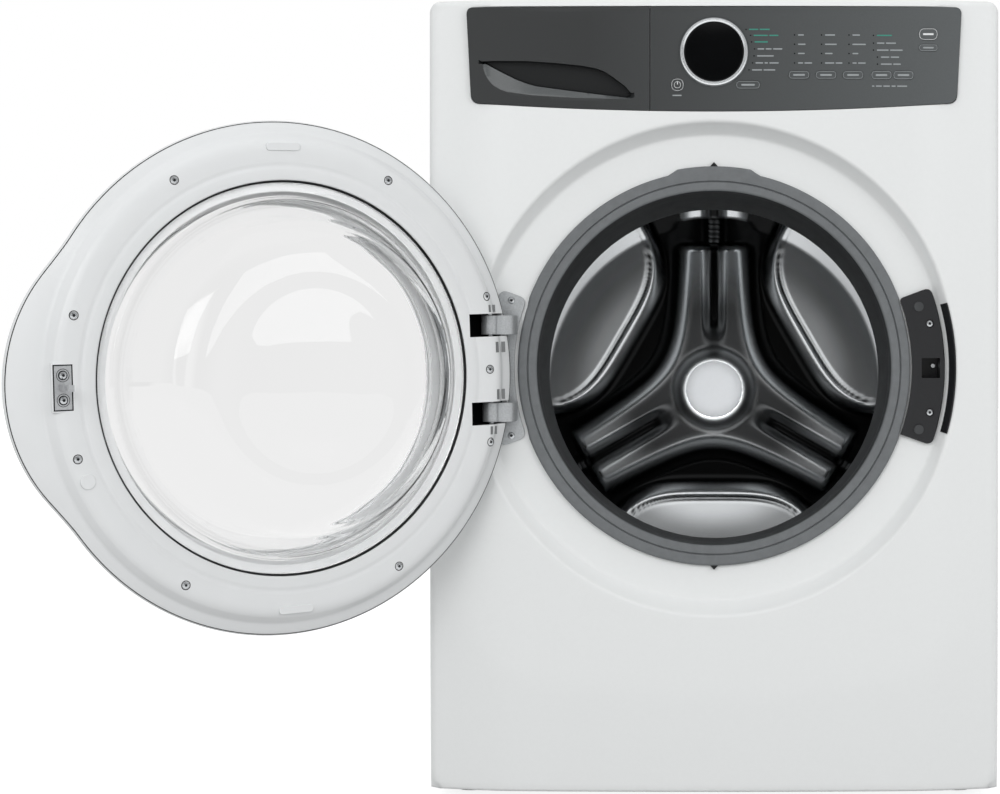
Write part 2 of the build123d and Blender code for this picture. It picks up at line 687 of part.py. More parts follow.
def tub_hoses():
    """The folded hose from dispenser to tub and the sump hose to the pump."""
    z_top = TRAY_Z[0] - HOUSING_GAP - HOUSING_WALL - 0.2
    low = DRIP_LOW_Z + DRIP_CUFF
    step = (z_top - DRIP_CUFF - low) / DRIP_FOLDS
    outer = [(DRIP_R, DRIP_LOW_Z), (DRIP_R, low)]
    for i in range(DRIP_FOLDS):
        outer += [(DRIP_FOLD_R, low + step * (i + 0.5)), (DRIP_R, low + step * (i + 1))]
    outer += [(DRIP_R, z_top)]
    inner = [(r - HOSE_WALL, z) for r, z in reversed(outer)]
    drip = Pos(DRIP_HOSE_X, DRIP_HOSE_Y, 0) * Rot(90, 0, 0) * turned(outer + inner)
    points = [
        (0, SUMP_Y, SUMP_TOP_Z),
        (0, SUMP_Y, PUMP_Z),
        (80, PUMP_Y, PUMP_Z),
        (PUMP_X - PUMP_R - 1, PUMP_Y, PUMP_Z),
    ]
    sump = tube(points, SUMP_HOSE_R, SUMP_HOSE_R - HOSE_WALL, 40)
    return together([drip, sump])


def drain_pump():
    """The pump at the front of the base, with inlet and outlet stubs."""
    body = Rot(0, 90, 0) * Cylinder(PUMP_R, 64)
    pump = Pos(PUMP_X, PUMP_Y, PUMP_Z) * body
    pump = pump + box((PUMP_X - 22, PUMP_X + 22), (PUMP_Y - 26, PUMP_Y + 26), (BASE_Z + SHEET, PUMP_Z))
    stub = Pos(PUMP_X - 34, PUMP_Y, PUMP_Z) * Rot(0, 90, 0)
    pump = pump + stub * Cylinder(16.6, 26) - Pos(-4, 0, 0) * stub * Cylinder(13, 30)
    pump = pump + rod_y(9.8, PUMP_X + 12, PUMP_Z, (PUMP_Y + 20, PUMP_Y + PUMP_R + 20))
    pump = pump - rod_y(7.5, PUMP_X + 12, PUMP_Z, (PUMP_Y + PUMP_R - 6, PUMP_Y + PUMP_R + 21))
    return pump


def drain_hose():
    """The drain hose from the pump up to the outlet spigot at the rear."""
    points = [
        (PUMP_X + 12, PUMP_Y + PUMP_R + 1, PUMP_Z),
        (PUMP_X + 12, -130, PUMP_Z),
        (OUTLET_X, -40, PUMP_Z),
        (OUTLET_X, RISER_Y, PUMP_Z),
        (OUTLET_X, RISER_Y, OUTLET_Z),
        (OUTLET_X, REAR_Y - 22, OUTLET_Z),
    ]
    hose = tube(points, OUTLET_R, OUTLET_R - 2.1, 24)
    spigot = rod_y(OUTLET_R, OUTLET_X, OUTLET_Z, (REAR_Y - 22, REAR_Y + OUTLET_LEN))
    spigot = spigot - rod_y(OUTLET_R - 2.1, OUTLET_X, OUTLET_Z, (REAR_Y - 25, REAR_Y + OUTLET_LEN + 1))
    return hose + spigot


def cord_gland():
    """The bare strain relief where a mains lead would enter."""
    half = GLAND_L / 2
    ring = turned([
        (GLAND_BORE_R, REAR_Y - half),
        (8.9, REAR_Y - half),
        (8.9, REAR_Y + 0.1),
        (14, REAR_Y + 0.1),
        (12, REAR_Y + 9),
        (8, REAR_Y + half),
        (GLAND_BORE_R, REAR_Y + half),
    ])
    return Pos(GLAND_X, 0, GLAND_Z) * ring


# Tub group

def tub_front():
    """The front tub half with its collar, hose nozzle and lugs."""
    t = TUB_WALL
    shell = TUB_LOC * turned([
        (COLLAR_R, 89), (COLLAR_R + t, 89), (COLLAR_R + t, TUB_FRONT_A), (TUB_R, TUB_FRONT_A),
        (TUB_R, TUB_SPLIT_A - 6), (TUB_FLANGE_R, TUB_SPLIT_A - 6), (TUB_FLANGE_R, TUB_SPLIT_A),
        (TUB_R - t, TUB_SPLIT_A), (TUB_R - t, TUB_FRONT_A + 6), (COLLAR_R, TUB_FRONT_A + 6),
    ])
    inside = TUB_LOC * rod_y(TUB_R - 1, 0, 0, (TUB_FRONT_A + 3, TUB_SPLIT_A + 200))
    nozzle = rod_z(18.6, DRIP_HOSE_X, DRIP_HOSE_Y, (690, DRIP_LOW_Z + 14)) - inside
    sump = rod_z(16.6, 0, SUMP_Y, (180, 240)) - inside
    shell = shell + nozzle + sump
    shell = shell - rod_z(15.5, DRIP_HOSE_X, DRIP_HOSE_Y, (680, DRIP_LOW_Z + 20))
    shell = shell - rod_z(13.5, 0, SUMP_Y, (175, 245))
    for sx in (-1, 1):
        x = (sx * DAMPER_X - 15, sx * DAMPER_X + 15)
        lug = box(x, (DAMPER_Y - 15, DAMPER_Y + 15), (DAMPER_TOP_Z, 300)) - inside
        shell = shell + lug
        x = (sx * SPRING_X - 16, sx * SPRING_X + 16)
        ear = box(x, (SPRING_Y - 16, SPRING_Y + 16), (640, SPRING_LOW_Z - SPRING_WIRE_R - 0.1)) - inside
        shell = shell + ear
    return shell


def tub_rear():
    """The rear tub half with its bearing hub and motor saddle."""
    t = TUB_WALL
    r1, a1, b1 = FRONT_BEARING
    r2, a2, b2 = REAR_BEARING
    shell = turned([
        (TUB_R - t, TUB_SPLIT_A + 0.2), (TUB_FLANGE_R, TUB_SPLIT_A + 0.2), (TUB_FLANGE_R, TUB_SPLIT_A + 6),
        (TUB_R, TUB_SPLIT_A + 6), (TUB_R, TUB_BACK_A + TUB_WALL_BACK), (56, TUB_BACK_A + TUB_WALL_BACK),
        (46, b2), (r2 + 0.02, b2), (r2 + 0.02, a2), (27, a2), (27, b1), (r1 + 0.02, b1),
        (r1 + 0.02, TUB_BACK_A), (TUB_R - t, TUB_BACK_A),
    ])
    for i in range(6):
        rib = box((48, TUB_R - 4), (TUB_BACK_A + 3, TUB_BACK_A + 24), (-3, 3))
        shell = shell + Rot(0, 30 + 60 * i, 0) * rib
    reach = MOTOR_REACH
    saddle = box((TUB_R - 3, reach), (500, 540), (-26, 26)) - rod_y(MOTOR_R + 0.1, reach, 0, (400, 700))
    saddle = saddle & box((0, reach - 30), (0, 700), (-60, 60))
    shell = shell + Rot(0, -MOTOR_ANGLE, 0) * saddle
    return TUB_LOC * shell


def counterweight_front():
    """Two equal half-ring weights on the front of the tub."""
    half = turned([(239, 62), (296, 62), (296, TUB_FRONT_A - 0.1), (239, TUB_FRONT_A - 0.1)], 126)
    return together([TUB_LOC * Rot(0, a, 0) * half for a in (-153, 27)])


def counterweight_top():
    """The block weight on top of the tub."""
    block = box((-120, 120), (352, 510), (270, 356)) - rod_y(TUB_R + 0.1, 0, 0, (300, 600))
    return TUB_LOC * block


def bearings():
    """The two ball bearings, each as one plain ring."""
    rings = []
    for (r, a, b), bore in ((FRONT_BEARING, SHAFT_R), (REAR_BEARING, SHAFT_TAIL_R)):
        hole = bore + RUN_GAP
        rings.append(TUB_LOC * turned([
            (hole, a), (r * 0.62, a), (r * 0.64, a + 1.2), (r * 0.84, a + 1.2), (r * 0.86, a), (r, a),
            (r, b), (hole, b),
        ]))
    return together(rings)


def motor_place():
    """Motor axis in the tub's own frame."""
    a = radians(MOTOR_ANGLE)
    return MOTOR_REACH * cos(a), MOTOR_REACH * sin(a)


def drive_motor():
    """The motor can with end bells under the tub."""
    mx, mz = motor_place()
    r, bore = MOTOR_R, MOTOR_SHAFT_R + RUN_GAP
    can = turned([
        (0, 472), (30, 472), (r - 6, 480), (r, 490), (r, 622), (r - 8, 634),
        (22, 640), (bore, 640), (bore, 600), (0, 600),
    ])
    return TUB_LOC * Pos(mx, 0, mz) * can


def motor_pulley():
    """The motor's shaft end with its small pulley."""
    mx, mz = motor_place()
    r = MOTOR_PULLEY_R
    a, b = PULLEY_A
    spin = turned([
        (0, 602), (MOTOR_SHAFT_R, 602), (MOTOR_SHAFT_R, a - 2), (r + 2.5, a - 2), (r + 2.5, a),
        (r, a), (r, b), (r + 2.5, b), (r + 2.5, b + 2), (0, b + 2),
    ])
    flat = box((-20, 20), (b, b + 4), (6, 20))
    return TUB_LOC * Pos(mx, 0, mz) * (spin - flat)


def belt_loop(extra):
    """The flat shape inside a belt drawn round both pulleys."""
    mx, mz = motor_place()
    big = Circle(PULLEY_R + extra)
    small = Pos(mx, mz) * Circle(MOTOR_PULLEY_R + extra)
    return make_hull(big.edges() + small.edges())


def drive_belt():
    """The drive belt round the drum pulley and the motor pulley."""
    width = PULLEY_A[1] - PULLEY_A[0] - 3
    low = PULLEY_A[1] - 1.5
    loop = front_sketch(belt_loop(BELT_GAP + BELT_T), low, width)
    return TUB_LOC * (loop - front_sketch(belt_loop(BELT_GAP), low, width))


def damper_rods():
    """The two damper rods below the tub."""
    return together(
        rod_z(DAMPER_ROD_R, sx * DAMPER_X, DAMPER_Y, (90, DAMPER_TOP_Z)) for sx in (-1, 1)
    )


def damper_cylinders():
    """The two damper bodies standing on the base."""
    bodies = []
    for sx in (-1, 1):
        body = rod_z(DAMPER_BODY_R, sx * DAMPER_X, DAMPER_Y, (BASE_Z + SHEET, 168))
        body = body - rod_z(DAMPER_ROD_R + 0.3, sx * DAMPER_X, DAMPER_Y, (60, 180))
        bodies.append(body)
    return together(bodies)


def suspension_springs():
    """The two coil springs that hang the tub from the side panels."""
    height = BRACKET_Z - SPRING_WIRE_R - 0.1 - SPRING_LOW_Z
    path = Helix(pitch=13.0, height=height, radius=SPRING_R)
    start = Plane(origin=path @ 0, z_dir=path % 0)
    coil = sweep(start * Circle(SPRING_WIRE_R), path=path, is_frenet=True)
    return together(Pos(sx * SPRING_X, SPRING_Y, SPRING_LOW_Z) * coil for sx in (-1, 1))


# Drum group

def drum_shell():
    """The drum's cylinder and front lip, without its small holes."""
    r, s, a, m = DRUM_R, DRUM_SHEET, DRUM_FRONT_A, DRUM_MOUTH_R
    outside = [
        (m, a - 5), (m + s, a - 5.5), (m + 2 * s, a - 1), (m + 8, a + 3),
        (r - 6, a + 3), (r, a + 9), (r, DRUM_BACK_A),
    ]
    inside = [
        (r - s, DRUM_BACK_A), (r - s, a + 9.6), (r - 6.6, a + 3 + s),
        (m + 7.4, a + 3 + s), (m + s, a),
    ]
    return TUB_LOC * turned(outside + inside)


def valley(grow):
    """One bent valley of the drum's back, between the web and the lobe at angle zero."""
    web = [(76, 0), (90, 59), (124, 131), (165, 205 + grow)]
    lobe = [(148, 0), (154, 65), (169, 131), (187, 184 + grow)]
    web = [(u - grow, -v) for u, v in reversed(web)] + [(u - grow, v) for u, v in web[1:]]
    lobe = [(u + grow, v) for u, v in reversed(lobe)] + [(u + grow, -v) for u, v in lobe[1:]]
    ends = Line(web[-1], lobe[0]) + Line(lobe[-1], web[0])
    return make_face(Spline(*web) + Spline(*lobe) + ends)


def drum_back():
    """The pressed drum back: a three-armed web and three lobes with bent valleys between them."""
    front_a = DRUM_BACK_A - WEB_RISE
    r = DRUM_R - DRUM_SHEET - 0.1
    disc = rod_y(r, 0, 0, (front_a, DRUM_BACK_A))
    web = rod_y(r - DRUM_SHEET, 0, 0, (front_a + DRUM_SHEET, DRUM_BACK_A + 1)) - rod_y(46, 0, 0, (0, 900))
    for a in LOBE_ANGLES:
        pocket = front_sketch(Rot(0, 0, a) * valley(0), DRUM_BACK_A - DRUM_SHEET, WEB_RISE)
        keep = front_sketch(Rot(0, 0, a) * valley(DRUM_SHEET), DRUM_BACK_A + 5, WEB_RISE + 10)
        disc = disc - pocket
        web = web - keep
    return TUB_LOC * (disc - web)


def lifter_section(tip_r, shoulder_r, tip_half, root_half):
    """Half a lifter's outline, mirrored: a blunt tip and sides that spread to the wall."""
    root_r = DRUM_R + 12
    side = [(tip_r, tip_half), (shoulder_r, tip_half + 6.5), (root_r, root_half)]
    return make_face(Polyline(*side, *[(r, -w) for r, w in reversed(side)], close=True))


def drum_lifters():
    """Three hollow lifters on the drum's wall."""
    wall = rod_y(DRUM_R - DRUM_SHEET - 0.1, 0, 0, (0, 900))
    outer = lifter_section(LIFTER_TIP_R, LIFTER_TIP_R + 7, 16, 41)
    inner = lifter_section(LIFTER_TIP_R + 4, LIFTER_TIP_R + 9, 14, 38)
    fin = front_sketch(outer, 494, 344) - front_sketch(inner, 490, 336)
    tip = box((190, 300), (140, 210), (-60, 60))
    ramp = Pos(LIFTER_TIP_R, 150, 0) * Rot(0, 0, 58) * box((-200, 0), (-200, 200), (-60, 60))
    fin = fin - (ramp & tip)
    fin = fin & wall
    return together([TUB_LOC * Rot(0, -a, 0) * fin for a in ARM_ANGLES])


def drum_spider():
    """The cast three-armed support behind the drum with its shaft."""
    a = DRUM_BACK_A
    shaft = turned([
        (0, a), (44, a), (44, a + 24), (30, a + 29), (SHAFT_R, a + 29), (SHAFT_R, 603), (SHAFT_TAIL_R, 604),
        (SHAFT_TAIL_R, 690), (0, 690),
    ])
    arm = make_face(Polyline((0, -28), (266, -15), (274, -8), (274, 8), (266, 15), (0, 28), close=True))
    bar = front_sketch(arm, a + 22, 22)
    for angle in ARM_ANGLES:
        shaft = shaft + Rot(0, -angle, 0) * bar
    return TUB_LOC * shaft


def drum_pulley():
    """The large drive pulley with six holes in its web."""
    a, b = PULLEY_A
    r = PULLEY_R
    bore, hub = SHAFT_TAIL_R + 0.02, 30
    wheel = turned([
        (bore, a - 4), (hub, a - 4), (hub, a + 6), (r - 12, a + 6), (r - 12, a), (r, a), (r, b),
        (r - 12, b), (r - 12, a + 10), (hub, a + 10), (hub, b + 4), (bore, b + 4),
    ])
    for i in range(6):
        wheel = wheel - Rot(0, 60 * i, 0) * rod_y(26, 79, 0, (a - 10, b + 10))
    return TUB_LOC * wheel


def drum_hub_cap():
    """The domed cap in the middle of the drum's back."""
    a = DRUM_BACK_A - WEB_RISE
    curve = [(0, a - 15), (18, a - 13.2), (33, a - 8), (HUB_CAP_R, a - 0.1)]
    return TUB_LOC * turned_curve(curve, [(0, a - 0.1)])


# Door, each piece drawn closed

def crown(radius, rim_y, front_y, skin):
    """A domed disc about the Y axis: a rounded rim rising to a flat middle."""
    h = rim_y - front_y
    r = radius - skin
    curve = [
        (r, rim_y),
        (r - 3.5, rim_y - 0.36 * h),
        (r - 14, rim_y - 0.66 * h),
        (r - 36, rim_y - 0.87 * h),
        (r - 66, front_y),
    ]
    return turned_curve(curve, [(0, front_y), (0, rim_y)])


def door_form(skin, rim_y, front_y):
    """The door's outer form: a round dome and the grip that swells out of its free side."""
    main = crown(DOOR_R, rim_y, front_y, skin)
    grip = Pos(GRIP_X, 0, 0) * crown(GRIP_R, rim_y, front_y + 3, skin)
    return CENTRE * (main + grip)


def door_outer_frame():
    """The white outer door shell round the window."""
    shell = door_form(0, DOOR_RIM_Y, DOOR_FRONT_Y)
    shell = shell - door_form(DOOR_SKIN, DOOR_RIM_Y + 1, DOOR_FRONT_Y + DOOR_SKIN)
    return shell - CENTRE * rod_y(WINDOW_R, 0, 0, (-500, -300))


def grip_back():
    """The flat back of the grip, inside the outer shell's rim."""
    grip = Pos(GRIP_X, 0, 0) * rod_y(GRIP_R, 0, 0, (DOOR_RIM_Y, DOOR_RIM_Y + 4))
    return CENTRE * (grip - rod_y(DOOR_R - 16, 0, 0, (-500, -300)))


def screw_seat(x, z):
    """Where a sunk door screw's head sits: lower where the ring's face falls away to its rim."""
    radius = (x * x + (z - CENTRE_Z) ** 2) ** 0.5
    return RING_Y - SCREW_SINK - 0.45 * max(0, radius - 262)


def strike_block(grow, y):
    """A block of the strike plate's outline, grown all round."""
    half_x, half_z = STRIKE_HALF[0] + grow, STRIKE_HALF[1] + grow
    block = box((STRIKE_X - half_x, STRIKE_X + half_x), y, (CENTRE_Z - half_z, CENTRE_Z + half_z))
    return fillet(block.edges().filter_by(Axis.Y), 3 + grow)


def door_inner_frame():
    """The inner ring that carries the glass, with hinge pockets and pin bosses."""
    y = RING_Y
    rim = DOOR_RIM_Y
    slope = [(DOOR_R - 0.2, rim), (DOOR_R - 1.5, rim + 3.5), (278, rim + 8), (275.5, rim + 9.5)]
    face = [(269, y - 3.5), (264, y - 0.7), (258, y), (243, y), (240, y - 1), (238, y - 1), (235, y)]
    step = GLASS_R + 2.6
    seat = [(step + 1, y), (step, y - 0.8), (step, y - 8.4), (208, y - 8.4), (208, y - 11.4), (236, y - 11.4)]
    back = [(241, y - 4.5), (258, y - 3.4), (263, y - 4), (266.5, y - 6)]
    back += [(273, rim + 6.5), (277, rim + 4.5), (283, rim)]
    ring = CENTRE * turned(slope + face + seat + back)
    ring = ring + grip_back()
    for dz in (-ARM_Z, ARM_Z):
        for side in (-1, 1):
            mid = dz + side * (ARM_H / 2 + 8)
            boss = rod_z(9, 0, 0, (mid - 6, mid + 6))
            boss = boss + box((-9, 9), (0, y - 5 - HINGE_Y), (mid - 6, mid + 6))
            ring = ring + HINGE * boss
    for dz in (-ARM_Z, ARM_Z):
        half = ARM_H / 2 + 2
        slot = box((-300, -228), (HINGE_Y - 14, FLOOR_Y), (CENTRE_Z + dz - half, CENTRE_Z + dz + half))
        ring = ring - slot
        ring = ring - HINGE * rod_z(PIN_R + 0.02, 0, 0, (dz - 60, dz + 60))
    for dz in (-BUMP_R, BUMP_R):
        ring = ring + Pos(0, 0, CENTRE_Z + dz) * front_sketch(SlotOverall(41, 9), y + 2.2, 5)
    ring = ring + rod_y(8.5, CAP_X, CENTRE_Z + CAP_DZ, (y - 3, y + 1.4))
    ring = ring + strike_block(2.0, (y - 5, y)) - strike_block(0.3, (y - STRIKE_T - 0.1, y + 5))
    for x, z in DOOR_SCREWS:
        ring = ring - rod_y(SCREW_HEAD_R + 1, x, z, (screw_seat(x, z) - 0.1, y + 5))
    for x, z in DOOR_SCREWS + STRIKE_SCREWS:
        ring = ring - screw_hole(x, RING_Y, z)
    return ring


def door_glass():
    """The clear bowl that reaches into the drum's mouth."""
    t = GLASS_T
    rim, end = RING_Y - 3, BOWL_END_Y
    outer = [(206, rim), (199, rim + 12), (184, rim + 40), (168, rim + 66), (150, rim + 78)]
    outer += [(110, end - 1.5), (0, end)]
    inner = [(0, end - t), (110, end - 1.5 - t)]
    inner += [(147, rim + 73), (163, rim + 63), (179, rim + 38), (194, rim + 11), (200, rim - t)]
    lines = Spline(*outer) + Line(outer[-1], inner[0]) + Spline(*inner)
    lines = lines + Polyline(inner[-1], (GLASS_R, rim - t), (GLASS_R, rim), outer[0])
    return CENTRE * revolve(make_face(lines), Axis.Y)


def door_glass_seal():
    """The thin dark ring between glass and inner frame."""
    y = RING_Y
    inner, outer = GLASS_R + 0.1, GLASS_R + 2.5
    return CENTRE * turned([
        (inner, y - 8.2), (outer, y - 8.2), (outer, y - 1.2), (inner + 1.1, y - 0.6), (inner, y - 1.4),
    ])


def door_outer_window():
    """The clear domed cover at the front of the door."""
    y, r = DOOR_FRONT_Y, WINDOW_R
    seat = y + DOOR_SKIN + 0.1
    front = [(r - 0.3, y - 0.5), (150, y - 4.6), (80, y - 7.2), (0, y - 8)]
    back = [(0, y - 3.5), (80, y - 2.7), (150, y - 0.1)]
    flange = [(r - 6, seat + 2.9), (r + 7, seat + 2.9), (r + 7, seat), (r - 0.3, seat)]
    lines = Spline(*front) + Line(front[-1], back[0]) + Spline(*back)
    lines = lines + Polyline(back[-1], *flange, front[0])
    return CENTRE * revolve(make_face(lines), Axis.Y)


def hinge_pins():
    """The two pins that join the door to the fixed eyes."""
    reach = ARM_H / 2 + 13.5
    return together(HINGE * rod_z(PIN_R, 0, 0, (dz - reach, dz + reach)) for dz in (-ARM_Z, ARM_Z))


def door_strike():
    """The strike plate with the hook that enters the lock."""
    y = RING_Y
    plate = strike_block(0, (y - STRIKE_T, y))
    hook = box((STRIKE_X - 2, STRIKE_X + 4), (y - 1, y + 32), (CENTRE_Z - 3.5, CENTRE_Z + 3.5))
    hook = hook - box((STRIKE_X, STRIKE_X + 9), (y + 14, y + 25), (CENTRE_Z - 20, CENTRE_Z + 20))
    strike = plate + hook
    for x, z in STRIKE_SCREWS:
        strike = strike - screw_hole(x, RING_Y, z)
    return strike


def door_screws():
    """Every equal screw on the door's inner face."""
    screws = [screw_at(x, screw_seat(x, z), z, 180) for x, z in DOOR_SCREWS]
    screws += [screw_at(x, RING_Y + 0.1, z, 180) for x, z in STRIKE_SCREWS]
    return together(screws)


DOOR = (
    door_outer_frame,
    door_inner_frame,
    door_glass,
    door_glass_seal,
    door_outer_window,
    hinge_pins,
    door_strike,
    door_screws,
)
FIXED = (
    base_tray, rear_panel, rear_access_cover, top_panel, front_panel, levelling_feet, cabinet_screws,
    gasket, lock_housing, finger_pocket, hinge_plate, console_panel, display_bezel, display_lens,
    control_board, drawer_front, drawer_tray, dispenser_housing, inlet_valve, fill_hoses, tub_hoses,
    drain_pump, drain_hose, cord_gland, tub_front, tub_rear, counterweight_front, counterweight_top,
    bearings, drive_motor, motor_pulley, drive_belt, damper_rods, damper_cylinders,
    suspension_springs, drum_shell, drum_back, drum_lifters, drum_spider, drum_pulley, drum_hub_cap,
)

nodes = {piece.__name__: piece() for piece in FIXED}
nodes["side_panel_left"] = side_panel(-1)
nodes["side_panel_right"] = side_panel(1)
for name in BUTTONS:
    nodes[name] = button(name)
for piece in DOOR:
    nodes[piece.__name__] = DOOR_OPEN * piece()

for name, shape in nodes.items():
    export_step(shape, f"parts/{name}.step")
    print(name, len(shape.solids()), round(shape.volume / 1000, 1), "cm3")
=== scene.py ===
import json
import math

import bmesh
import bpy
from bpy.props import FloatProperty, FloatVectorProperty, IntProperty, PointerProperty
from mathutils import Matrix, Vector
from mathutils.geometry import delaunay_2d_cdt


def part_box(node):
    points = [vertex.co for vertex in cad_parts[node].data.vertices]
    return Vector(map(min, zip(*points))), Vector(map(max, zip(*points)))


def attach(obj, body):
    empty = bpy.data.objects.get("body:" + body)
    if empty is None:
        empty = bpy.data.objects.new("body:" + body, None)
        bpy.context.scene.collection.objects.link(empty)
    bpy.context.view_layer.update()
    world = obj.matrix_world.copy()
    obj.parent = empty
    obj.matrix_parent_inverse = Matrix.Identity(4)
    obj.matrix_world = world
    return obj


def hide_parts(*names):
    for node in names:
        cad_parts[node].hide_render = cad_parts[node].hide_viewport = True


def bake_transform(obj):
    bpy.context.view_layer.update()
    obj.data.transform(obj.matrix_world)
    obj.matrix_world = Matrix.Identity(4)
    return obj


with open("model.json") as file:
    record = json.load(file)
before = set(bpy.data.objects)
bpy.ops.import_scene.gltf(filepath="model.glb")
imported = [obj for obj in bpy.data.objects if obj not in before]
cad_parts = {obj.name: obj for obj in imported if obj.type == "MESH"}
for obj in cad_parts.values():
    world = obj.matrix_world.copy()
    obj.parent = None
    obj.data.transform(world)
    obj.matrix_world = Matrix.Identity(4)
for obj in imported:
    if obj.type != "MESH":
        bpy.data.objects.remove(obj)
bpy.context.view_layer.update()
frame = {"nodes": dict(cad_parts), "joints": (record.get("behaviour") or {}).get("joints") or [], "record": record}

bl_info = {
    "name": "Front load washing machine",
    "version": (1, 0, 0),
    "blender": (4, 5, 0),
    "location": "3D View > Sidebar > Washer",
    "description": "Dresses the packed washing machine with its skins, glass, rubber and finishes",
    "category": "Object",
}

MM = 0.001
JOINTS = {joint["name"]: joint for joint in frame["joints"]}
CENTRE = Vector(JOINTS["drum_spin"]["pos_m"])
SPIN = Vector(JOINTS["drum_spin"]["axis"])
HINGE = Vector(JOINTS["door_swing"]["pos_m"])
SWING = Vector(JOINTS["door_swing"]["axis"])
OPEN_ANGLE = math.radians(JOINTS["door_swing"]["range_deg"][1])
TILT = math.atan2(-SPIN.z, SPIN.y)
FRONT_PLACE = Matrix.Translation((0, 0, CENTRE.z))
TUB_PLACE = Matrix.Translation(CENTRE) @ Matrix.Rotation(-TILT, 4, "X")
DOOR_PLACE = (
    Matrix.Translation(HINGE)
    @ Matrix.Rotation(-OPEN_ANGLE, 4, SWING)
    @ Matrix.Translation(-HINGE)
    @ FRONT_PLACE
)

# The photograph's size, its axis and focal length in pixels, then the eye and the sensor in millimetres
PHOTO_PX = (1000, 794)
AXIS_PX = (714, 313.6)
FOCAL_PX = 2478.98
EYE_Y = -3363.45
EYE_Z = 589
SENSOR_MM = 36

# Driving sizes in millimetres, from the solids' boxes and joints where those give them
HALF_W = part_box("front_panel")[1].x / MM
BASE_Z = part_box("front_panel")[0].z / MM
TOP_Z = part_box("front_panel")[1].z / MM
PAN_BACK_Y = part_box("front_panel")[1].y / MM
PAD_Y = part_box("front_panel")[0].y / MM
CENTRE_Z = CENTRE.z / MM
FLOOR_Y = CENTRE.y / MM

# The bowed front with its raised pad, round recess and mouth
SIDE_Y = PAD_Y + 20
BOW = 16
PAD_EDGE_Y = PAD_Y + 6
PAD_HALF_W = 298
PAD_LOW_Z = 131
PAD_CORNER_R = 78
PAD_SAG = 36
SIDE_FALL_W = 105
APRON_LEAN = 0.06
APRON_FADE_Z = (PAD_LOW_Z + 200, PAD_LOW_Z + 60)
PAD_BLEND = 8
PRESS_BLEND = 5
SIDE_EDGE_R = 9
TOP_EDGE_R = 5
LOW_EDGE_R = 4
RECESS_R = 295.5
RECESS_FLOOR_R = 281
MOUTH_R = 226
PRESS_RINGS = (
    MOUTH_R, 233, 240, 250, 260, 270, 275, 278, 279.5, RECESS_FLOOR_R, 282.5, 284, 287, 290, 292.5, 294,
    RECESS_R, 297, 299, 302,
)
SHEET = 1.6

# Control panel and drawer front
CONSOLE_HALF_W = 297.5
CONSOLE_TOP_Z = 956.5
CONSOLE_END_Z = 841
CONSOLE_MID_Z = 830.5
CONSOLE_SPLIT_X = -76.6
CONSOLE_GAP = 0.7
DRAWER_BACK_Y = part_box("drawer_front")[1].y / MM

# Drum, with A measured along its axis and angles in degrees
DRUM_R = 278
DRUM_FRONT_A = 118
DRUM_BACK_A = 532
DRUM_MOUTH_R = 206
WEB_RISE = 14
ARM_END_R = 201
BAND_R = 234
BAR_INSET = 12
WEB_START = 42.6
WEB_BEND = 33
WEB_STEEP = 0.88
LOBE_START = 143.5
LOBE_CURL = 34
LOBE_HALF_W = 131
HUB_CAP_R = 41
ARM_ANGLES = (90, 210, 330)
LOBE_ANGLES = (30, 150, 270)

# Door, as it lies when it is closed
DOOR_R = 291.2
DOOR_RIM_Y = FLOOR_Y - 31
DOOR_FRONT_Y = DOOR_RIM_Y - 30
RING_Y = FLOOR_Y - 9
GRIP_X = 125
GRIP_R = 192.6
GLASS_R = 220.2
GLASS_RIM_Y = RING_Y - 3
WINDOW_R = 197
BOWL_END_Y = FLOOR_Y + 74

# Hinge
ARM_Z = 52
ARM_H = 23
ARM_END_X = -236.5
HINGE_PLATE_R = (240.5, 274)
HINGE_PLATE_ANGLE = 20.3

# Lock: cut as two X and half a height, bump and catch as X, Z, radius and depths, flange as angles and radii
LOCK_CUT = (245.2, 276.8, 19.8)
LOCK_BUMP = (246.5, 74, 6)
LOCK_FLANGE = (20.5, -19.6, 238.4, 278)
LOCK_CATCH = (266.5, 2, 2.4, FLOOR_Y + 28, FLOOR_Y + 33.8)

# What lies on the door's inner ring
STRIKE_X = 259
STRIKE_HALF = (10.3, 24.4)
STRIKE_SCREW_DZ = 13.4
SCREW_RING_R = 257
HINGE_SLOT_X = (-300, -228)
HINGE_SLOT_HALF = ARM_H / 2 + 2
POCKET_BACK_Y = RING_Y - 38
POCKET_LINE = (
    (HINGE_SLOT_X[1], RING_Y - 5), (HINGE_SLOT_X[1], POCKET_BACK_Y), (-273, POCKET_BACK_Y),
    (-285, POCKET_BACK_Y + 9),
)
RING_BUMP_Z = 260.5
RING_BUMP_HALF = (20.5, 4.5)
RING_CAP = (234.7, -102, 8.5)

# Slots beside the hinge as ranges of X and Z, and the ring's face as radius and lift
RIB_SLOTS = (
    (-264, -254, 67.5, 76), (-276, -262, 19.5, 32), (-274, -262, -36, -24), (-262, -252, -77, -67.5),
)
RING_FACE = (
    (234, 0), (236.5, -0.3), (238.2, -1), (240.2, -1), (242, -0.3), (244, 0), (257, 0), (261, -0.4),
    (265, -1.4), (268, -2.8), (270, -4.2),
)


# Colour and mesh helpers

def linear(text):
    """An sRGB hex colour as linear RGBA."""
    values = [int(text[i:i + 2], 16) / 255 for i in (1, 3, 5)]
    done = [v / 12.92 if v <= 0.04045 else ((v + 0.055) / 1.055) ** 2.4 for v in values]
    return (*done, 1.0)


def per_mm(size):
    """The noise scale whose features are about this many millimetres wide."""
    return 1 / (size * MM)


def ease(low, high, value):
    """A smooth step from 0 at low to 1 at high."""
    t = min(max((value - low) / (high - low), 0), 1)
    return t * t * (3 - 2 * t)


